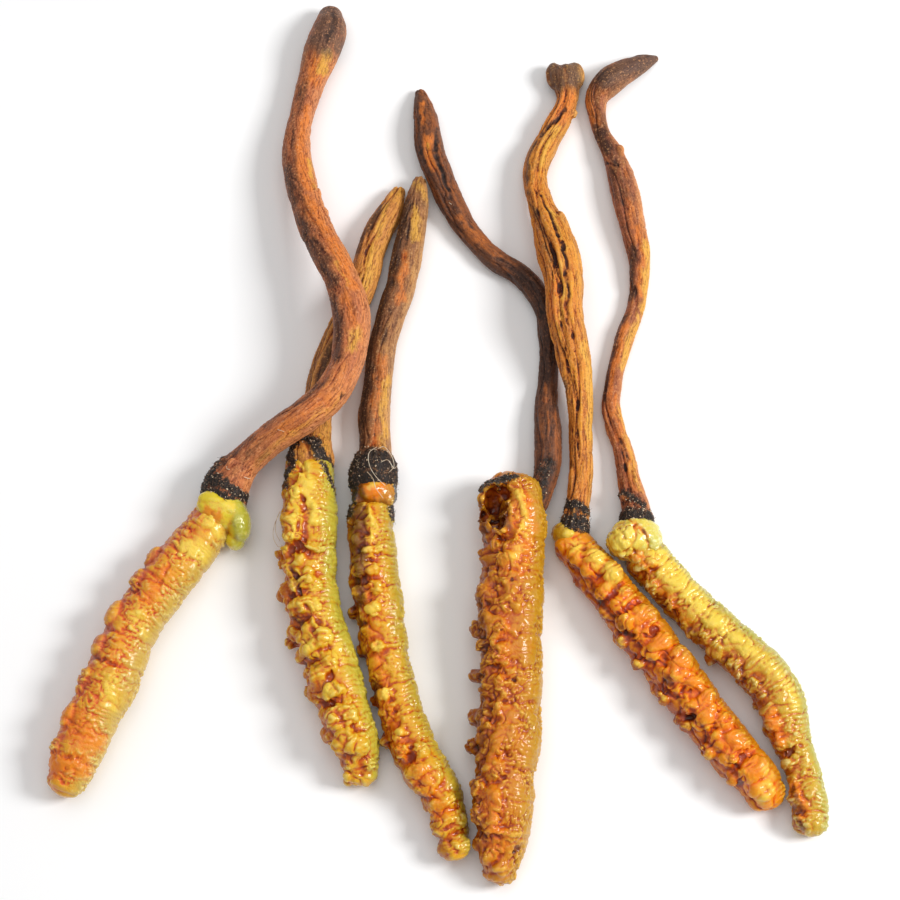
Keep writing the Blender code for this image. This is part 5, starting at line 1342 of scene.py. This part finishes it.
def stalk_material(name, tints, roughness, seed):
    """Dry flesh streaked lengthwise and finely speckled, with dark furrows, painted shade on its left side
    and in folds, and painted light on its right edge.
    """
    material, tree, shader, where = new_material(name)
    deep, middle, light, edge = tints
    growth = add_node(tree, "ShaderNodeAttribute", attribute_name="growth").outputs["Vector"]
    squeezed = add_node(tree, "ShaderNodeVectorMath", {0: growth, 1: STREAK_SQUEEZE}, operation="MULTIPLY")
    streak = noise(tree, squeezed.outputs[0], STREAK_WIDTH, seed, 4.0, 0.6)
    cloud = noise(tree, where, STALK_CLOUD, seed, 3.0)
    mottle = noise(tree, where, STALK_MOTTLE, seed + 3.0, 5.0, 0.7)
    speck = noise(tree, where, STALK_SPECK, seed + 8.0, 2.0, 0.6)
    leftness = shader_field(tree, "leftness")
    low = shader_field(tree, "fold") * 0.6 + shader_field(tree, "hollow") * 0.4
    # Light streaks, partly at random and partly painted light on the right side and away from folds
    bright = streak * 0.8 + cloud * 0.7 + mottle * 0.5 - leftness * 0.25 - low * 0.5
    colour = blend(tree, bright.ramp(-0.1, 0.8, 0.0, 0.85), middle, light)
    # Painted light: the right edge's colour
    colour = blend(tree, (mottle * 0.4 - leftness * 0.9).ramp(0.4, 1.2, 0.0, 0.7), colour, edge)
    fleck = streak + mottle * 1.2
    colour = with_stains_and_light(tree, colour, STALK_STAINS_AND_LIGHT, 0.85, low, fleck)
    # Dark streaks, partly at random and partly painted shade on the left side and in folds
    dull = leftness * 0.3 + low * 0.8 - streak * 0.9 - cloud * 0.4 - mottle * 1.4
    colour = blend(tree, dull.ramp(0.1, 0.85, 0.0, 0.85), colour, deep)
    # Grooves and dark specks, deepened in folds by painted shade, and light specks in the lit edge's colour
    groove = noise(tree, squeezed.outputs[0], GROOVE_WIDTH, seed + 4.0, 2.0).valley(0.1) + low * 0.4
    colour = blend(tree, groove.ramp(0.3, 1.1, 0.0, 0.75), colour, GROOVE, "MULTIPLY")
    colour = blend(tree, (speck + low * 0.3).ramp(0.05, 0.4, 0.0, 0.65), colour, SPECK, "MULTIPLY")
    colour = blend(tree, (speck * -1.0 - low * 0.2).ramp(0.12, 0.45, 0.0, 0.5), colour, edge)
    # Painted shade: folds and crevices darkened
    depth = low + shader_field(tree, "crack") * 0.3
    colour = blend(tree, depth.ramp(0.0, 0.8, 0.0, 0.9), colour, SHALLOW_SHADE, "MULTIPLY")
    colour = blend(tree, depth.ramp(0.3, 1.1), colour, CREVICE_SHADE, "MULTIPLY")
    connect(tree, shader.inputs["Base Color"], soiled(tree, where, colour, mottle))
    fine = noise(tree, where, STALK_FINE, seed, 2.0)
    connect(tree, shader.inputs["Roughness"], fine * 0.15 + roughness)
    shader.inputs["Specular IOR Level"].default_value = 0.3
    roughen(tree, shader, fine, STALK_BUMP, BUMP_STRENGTH)
    return material


def soil_material():
    """Grains of soil and fibres, from nearly black to whitish."""
    material, tree, shader, _ = new_material("soil_grains")
    black, brown, whitish = GRAIN_TINTS
    shade = shader_field(tree, "shade")
    colour = blend(tree, shade.ramp(0.5, 0.75), black, brown)
    colour = blend(tree, shade.ramp(0.84, 0.96), colour, whitish)
    connect(tree, shader.inputs["Base Color"], colour)
    shader.inputs["Roughness"].default_value = 0.55
    return material


def thread_material():
    """Dry whitish threads."""
    material, tree, shader, where = new_material("pale_threads")
    pale = noise(tree, where, THREAD_CLOUD, 0.0, 1.0).ramp(-0.6, 0.6)
    connect(tree, shader.inputs["Base Color"], blend(tree, pale, *THREAD_TINTS))
    shader.inputs["Roughness"].default_value = 0.5
    return material


def shared_tree(name, make):
    """A node tree, made the first time that it is asked for."""
    return bpy.data.node_groups.get(name) or make()


def scatter_soil(number, item, kind, sizes):
    """Stick grains of soil and short fibres on the soiled parts of a skin."""
    crust = bpy.data.objects.new("soil_on_" + kind + "_%d" % number, item.data.copy())
    bpy.context.collection.objects.link(crust)
    material = bpy.data.materials.get("soil_grains") or soil_material()
    run_tree(crust, shared_tree("Soil grains", grain_tree),
             {"Seed": float(number), "Density": sizes.grains, "Grain Size": sizes.grain / MM,
              "Fibre Density": sizes.fibres, "Fibre Length": sizes.fibre / MM, "Material": material})
    lay_on_table(crust.data)
    hand_over(crust)


def body_spine(number):
    """The centreline of a larva."""
    return Spine(BODY_PATHS[number], BODY_SINK, BODY_HEIGHT_SHARE)


def stalk_spine(number):
    """The centreline of a stalk."""
    return Spine(STALK_PATHS[number], STALK_SINK, 1.0)


def build_larva(number, sizes, soil_sizes):
    """A larva with its lumps, rings, folds and feet."""
    spine = body_spine(number)
    shells = [spine.shell()]
    shells += [foot(spine, tip) for tip in FEET[number]]
    shells += [lump(spine, *values) for values in BODY_LUMPS[number]]
    random = np.random.default_rng(number)
    for values in BEAD_ROWS[number]:
        shells += bead_row(spine, *values, random)
    item = new_object("larva_%d" % number, shells)
    voxel = sizes.detail / MM
    even_skin(item, voxel)
    if number == TORN_BODY:
        for centre, radii, turn in BODY_4_HOLLOWS:
            hollow_out(item, centre, radii, turn, voxel)
    material = skin_material("larva_%d_skin" % number, SKIN_TINTS[number], SKIN_SHADES[number],
                             sizes.roughness, sizes.coat, float(number))
    values = {**LARVA_SKIN, **LARVA_CHANGES[number], "Seed": float(number), "Material": material}
    grow_skin(item, spine, BODY_MARKS[number], values, sizes.soften)
    if number in SOILED_BODIES:
        scatter_soil(number, item, "larva", soil_sizes)
    hand_over(item, ["body_%d" % number])


def build_head(number, sizes):
    """A glossy head capsule."""
    x, y, _ = HEADS[number][0][0]
    ends = [(x, y + HEAD_HALF_LENGTH * sign, HEAD_HALF_LENGTH, 0.0) for sign in (1.0, -1.0)]
    item = new_object("capsule_%d" % number, [layout_ball(*values) for values in HEADS[number]])
    even_skin(item, sizes.detail / MM)
    seed = HEAD_SEED + number
    material = skin_material("capsule_%d_shell" % number, HEAD_TINTS[number], HEAD_SHADE,
                             sizes.head_roughness, sizes.head_coat, seed)
    values = {**HEAD_SHELL, **HEAD_CHANGES.get(number, {}), "Seed": seed, "Material": material}
    grow_skin(item, Spine(ends, 0.0, 1.0), HEAD_MARKS[number], values, sizes.soften)
    hand_over(item, ["head_%d" % number])


def build_stalk(number, sizes):
    """A stalk, with grains of soil stuck to its foot."""
    spine = stalk_spine(number)
    shells = [spine.shell()]
    shells += [lump(spine, *values) for values in STALK_LUMPS[number]]
    if number == FORKED_STALK:
        shells += [layout_ball(*values) for values in STALK_5_LOBES]
    item = new_object("stem_%d" % number, shells)
    even_skin(item, sizes.detail / MM)
    seed = STALK_SEED + number
    material = stalk_material("stem_%d_flesh" % number, STALK_TINTS[number], sizes.roughness, seed)
    values = {**STALK_FLESH, **STALK_CHANGES[number], "Seed": seed, "Material": material}
    grow_skin(item, spine, STALK_MARKS[number], values, sizes.soften)
    scatter_soil(number, item, "stem", sizes)
    hand_over(item, ["stalk_%d" % number])


def build_threads(host, material):
    """The pale threads that cling to one piece."""
    number = int(host[-1])
    spine = body_spine(number) if host.startswith("body") else stalk_spine(number)
    shells = []
    for places in THREADS[host]:
        path = smooth_path([spine.on_skin(*place)[0] for place in places], THREAD_STEP, 3)
        tangents = unit(np.gradient(path, axis=0))
        shells.append(tube(path, tangents, np.full(len(path), THREAD_RADIUS), corners=THREAD_SIDES))
    item = new_object("threads_on_" + host, shells)
    item.data.materials.append(material)
    hand_over(item)


class CORDYCEPS_OT_larvae(bpy.types.Operator):
    """Build the six larvae"""
    bl_idname = "cordyceps.larvae"
    bl_label = "Larvae"

    def execute(self, context):
        for number in BODY_PATHS:
            build_larva(number, context.scene.cordyceps_skin, context.scene.cordyceps_stalk)
        return {"FINISHED"}


class CORDYCEPS_OT_heads(bpy.types.Operator):
    """Build the four glossy head capsules"""
    bl_idname = "cordyceps.heads"
    bl_label = "Heads"

    def execute(self, context):
        for number in HEADS:
            build_head(number, context.scene.cordyceps_skin)
        return {"FINISHED"}


class CORDYCEPS_OT_stalks(bpy.types.Operator):
    """Build the six stalks with the soil on their feet"""
    bl_idname = "cordyceps.stalks"
    bl_label = "Stalks"

    def execute(self, context):
        for number in STALK_PATHS:
            build_stalk(number, context.scene.cordyceps_stalk)
        return {"FINISHED"}


class CORDYCEPS_OT_threads(bpy.types.Operator):
    """Lay the pale threads on the stalks and larvae"""
    bl_idname = "cordyceps.threads"
    bl_label = "Threads"

    def execute(self, context):
        material = thread_material()
        for host in THREADS:
            build_threads(host, material)
        return {"FINISHED"}


# The floor's size and how far it lies below the specimens, and the lights' places, in metres
FLOOR_SIZE = 3.0
FLOOR_DROP = 0.00002
KEY_PLACE = (0.3, 0.0, 0.26)
FILL_PLACE = (-0.05, 0.12, 0.5)
FILL_SIZE = 0.5
LIGHTS_AIM = (0.0, 0.0, 0.0)


def add_light(name, place, aim, size, power):
    """A square soft light that shines at a point."""
    light = bpy.data.lights.new(name, "AREA")
    light.size = size
    light.energy = power
    item = bpy.data.objects.new(name, light)
    item.location = place
    item.rotation_euler = (Vector(aim) - Vector(place)).to_track_quat("-Z", "Y").to_euler()
    bpy.context.collection.objects.link(item)


class CORDYCEPS_OT_stage(bpy.types.Operator):
    """Build the camera, the floor and the lights"""
    bl_idname = "cordyceps.stage"
    bl_label = "Stage"

    def execute(self, context):
        sizes = context.scene.cordyceps_stage
        target = Vector((-LAYOUT_CENTRE[0] * MM, -LAYOUT_CENTRE[1] * MM, 0.0))
        back = Vector((0.0, -math.cos(sizes.elevation), math.sin(sizes.elevation)))
        camera = bpy.data.cameras.new("Camera")
        camera.lens = sizes.lens
        item = bpy.data.objects.new("Camera", camera)
        item.location = target + back * sizes.distance
        item.rotation_euler = (-back).to_track_quat("-Z", "Y").to_euler()
        bpy.context.collection.objects.link(item)
        context.scene.camera = item

        shape = bmesh.new()
        bmesh.ops.create_grid(shape, x_segments=1, y_segments=1, size=FLOOR_SIZE)
        mesh = bpy.data.meshes.new("floor")
        shape.to_mesh(mesh)
        shape.free()
        floor = bpy.data.objects.new("floor", mesh)
        floor.location = (0.0, 0.0, -FLOOR_DROP)
        bpy.context.collection.objects.link(floor)
        material = bpy.data.materials.new("pale_floor")
        material.use_nodes = True
        shader = material.node_tree.nodes["Principled BSDF"]
        shader.inputs["Base Color"].default_value = (*sizes.floor, 1.0)
        shader.inputs["Roughness"].default_value = 0.9
        shader.inputs["Specular IOR Level"].default_value = 0.1
        mesh.materials.append(material)

        add_light("Key", KEY_PLACE, LIGHTS_AIM, sizes.key_size, sizes.key)
        add_light("Fill", FILL_PLACE, LIGHTS_AIM, FILL_SIZE, sizes.fill)
        world = bpy.data.worlds.new("Surroundings")
        world.use_nodes = True
        sky = world.node_tree.nodes["Background"]
        sky.inputs["Color"].default_value = (1.0, 1.0, 1.0, 1.0)
        sky.inputs["Strength"].default_value = sizes.sky
        context.scene.world = world
        context.scene.view_settings.view_transform = "Standard"
        return {"FINISHED"}


class CORDYCEPS_PT_panel(bpy.types.Panel):
    """The bundle's parts and sizes"""
    bl_label = "Cordyceps bundle"
    bl_idname = "CORDYCEPS_PT_panel"
    bl_space_type = "VIEW_3D"
    bl_region_type = "UI"
    bl_category = "Cordyceps"

    def draw(self, context):
        layout = self.layout
        for operator in OPERATORS:
            layout.operator(operator.bl_idname)
        for name, group in GROUPS.items():
            box = layout.box()
            for field in group.__annotations__:
                box.prop(getattr(context.scene, name), field)


OPERATORS = (CORDYCEPS_OT_stage, CORDYCEPS_OT_larvae, CORDYCEPS_OT_heads, CORDYCEPS_OT_stalks,
             CORDYCEPS_OT_threads)
GROUPS = {"cordyceps_skin": SkinSizes, "cordyceps_stalk": StalkSizes, "cordyceps_stage": StageSizes}


def register():
    """Make the sizes, operators and panel known."""
    for name, group in GROUPS.items():
        bpy.utils.register_class(group)
        setattr(bpy.types.Scene, name, PointerProperty(type=group))
    for kind in OPERATORS + (CORDYCEPS_PT_panel,):
        bpy.utils.register_class(kind)


def unregister():
    """Take the sizes, operators and panel away again."""
    for kind in (CORDYCEPS_PT_panel,) + OPERATORS[::-1]:
        bpy.utils.unregister_class(kind)
    for name, group in GROUPS.items():
        delattr(bpy.types.Scene, name)
        bpy.utils.unregister_class(group)


def main():
    """Make the sizes, operators and panel known, and build the stage, the larvae, the heads, the stalks and
    the threads.
    """
    register()
    bpy.ops.cordyceps.stage()
    bpy.ops.cordyceps.larvae()
    bpy.ops.cordyceps.heads()
    bpy.ops.cordyceps.stalks()
    bpy.ops.cordyceps.threads()


if __name__ == "__main__":
    main()
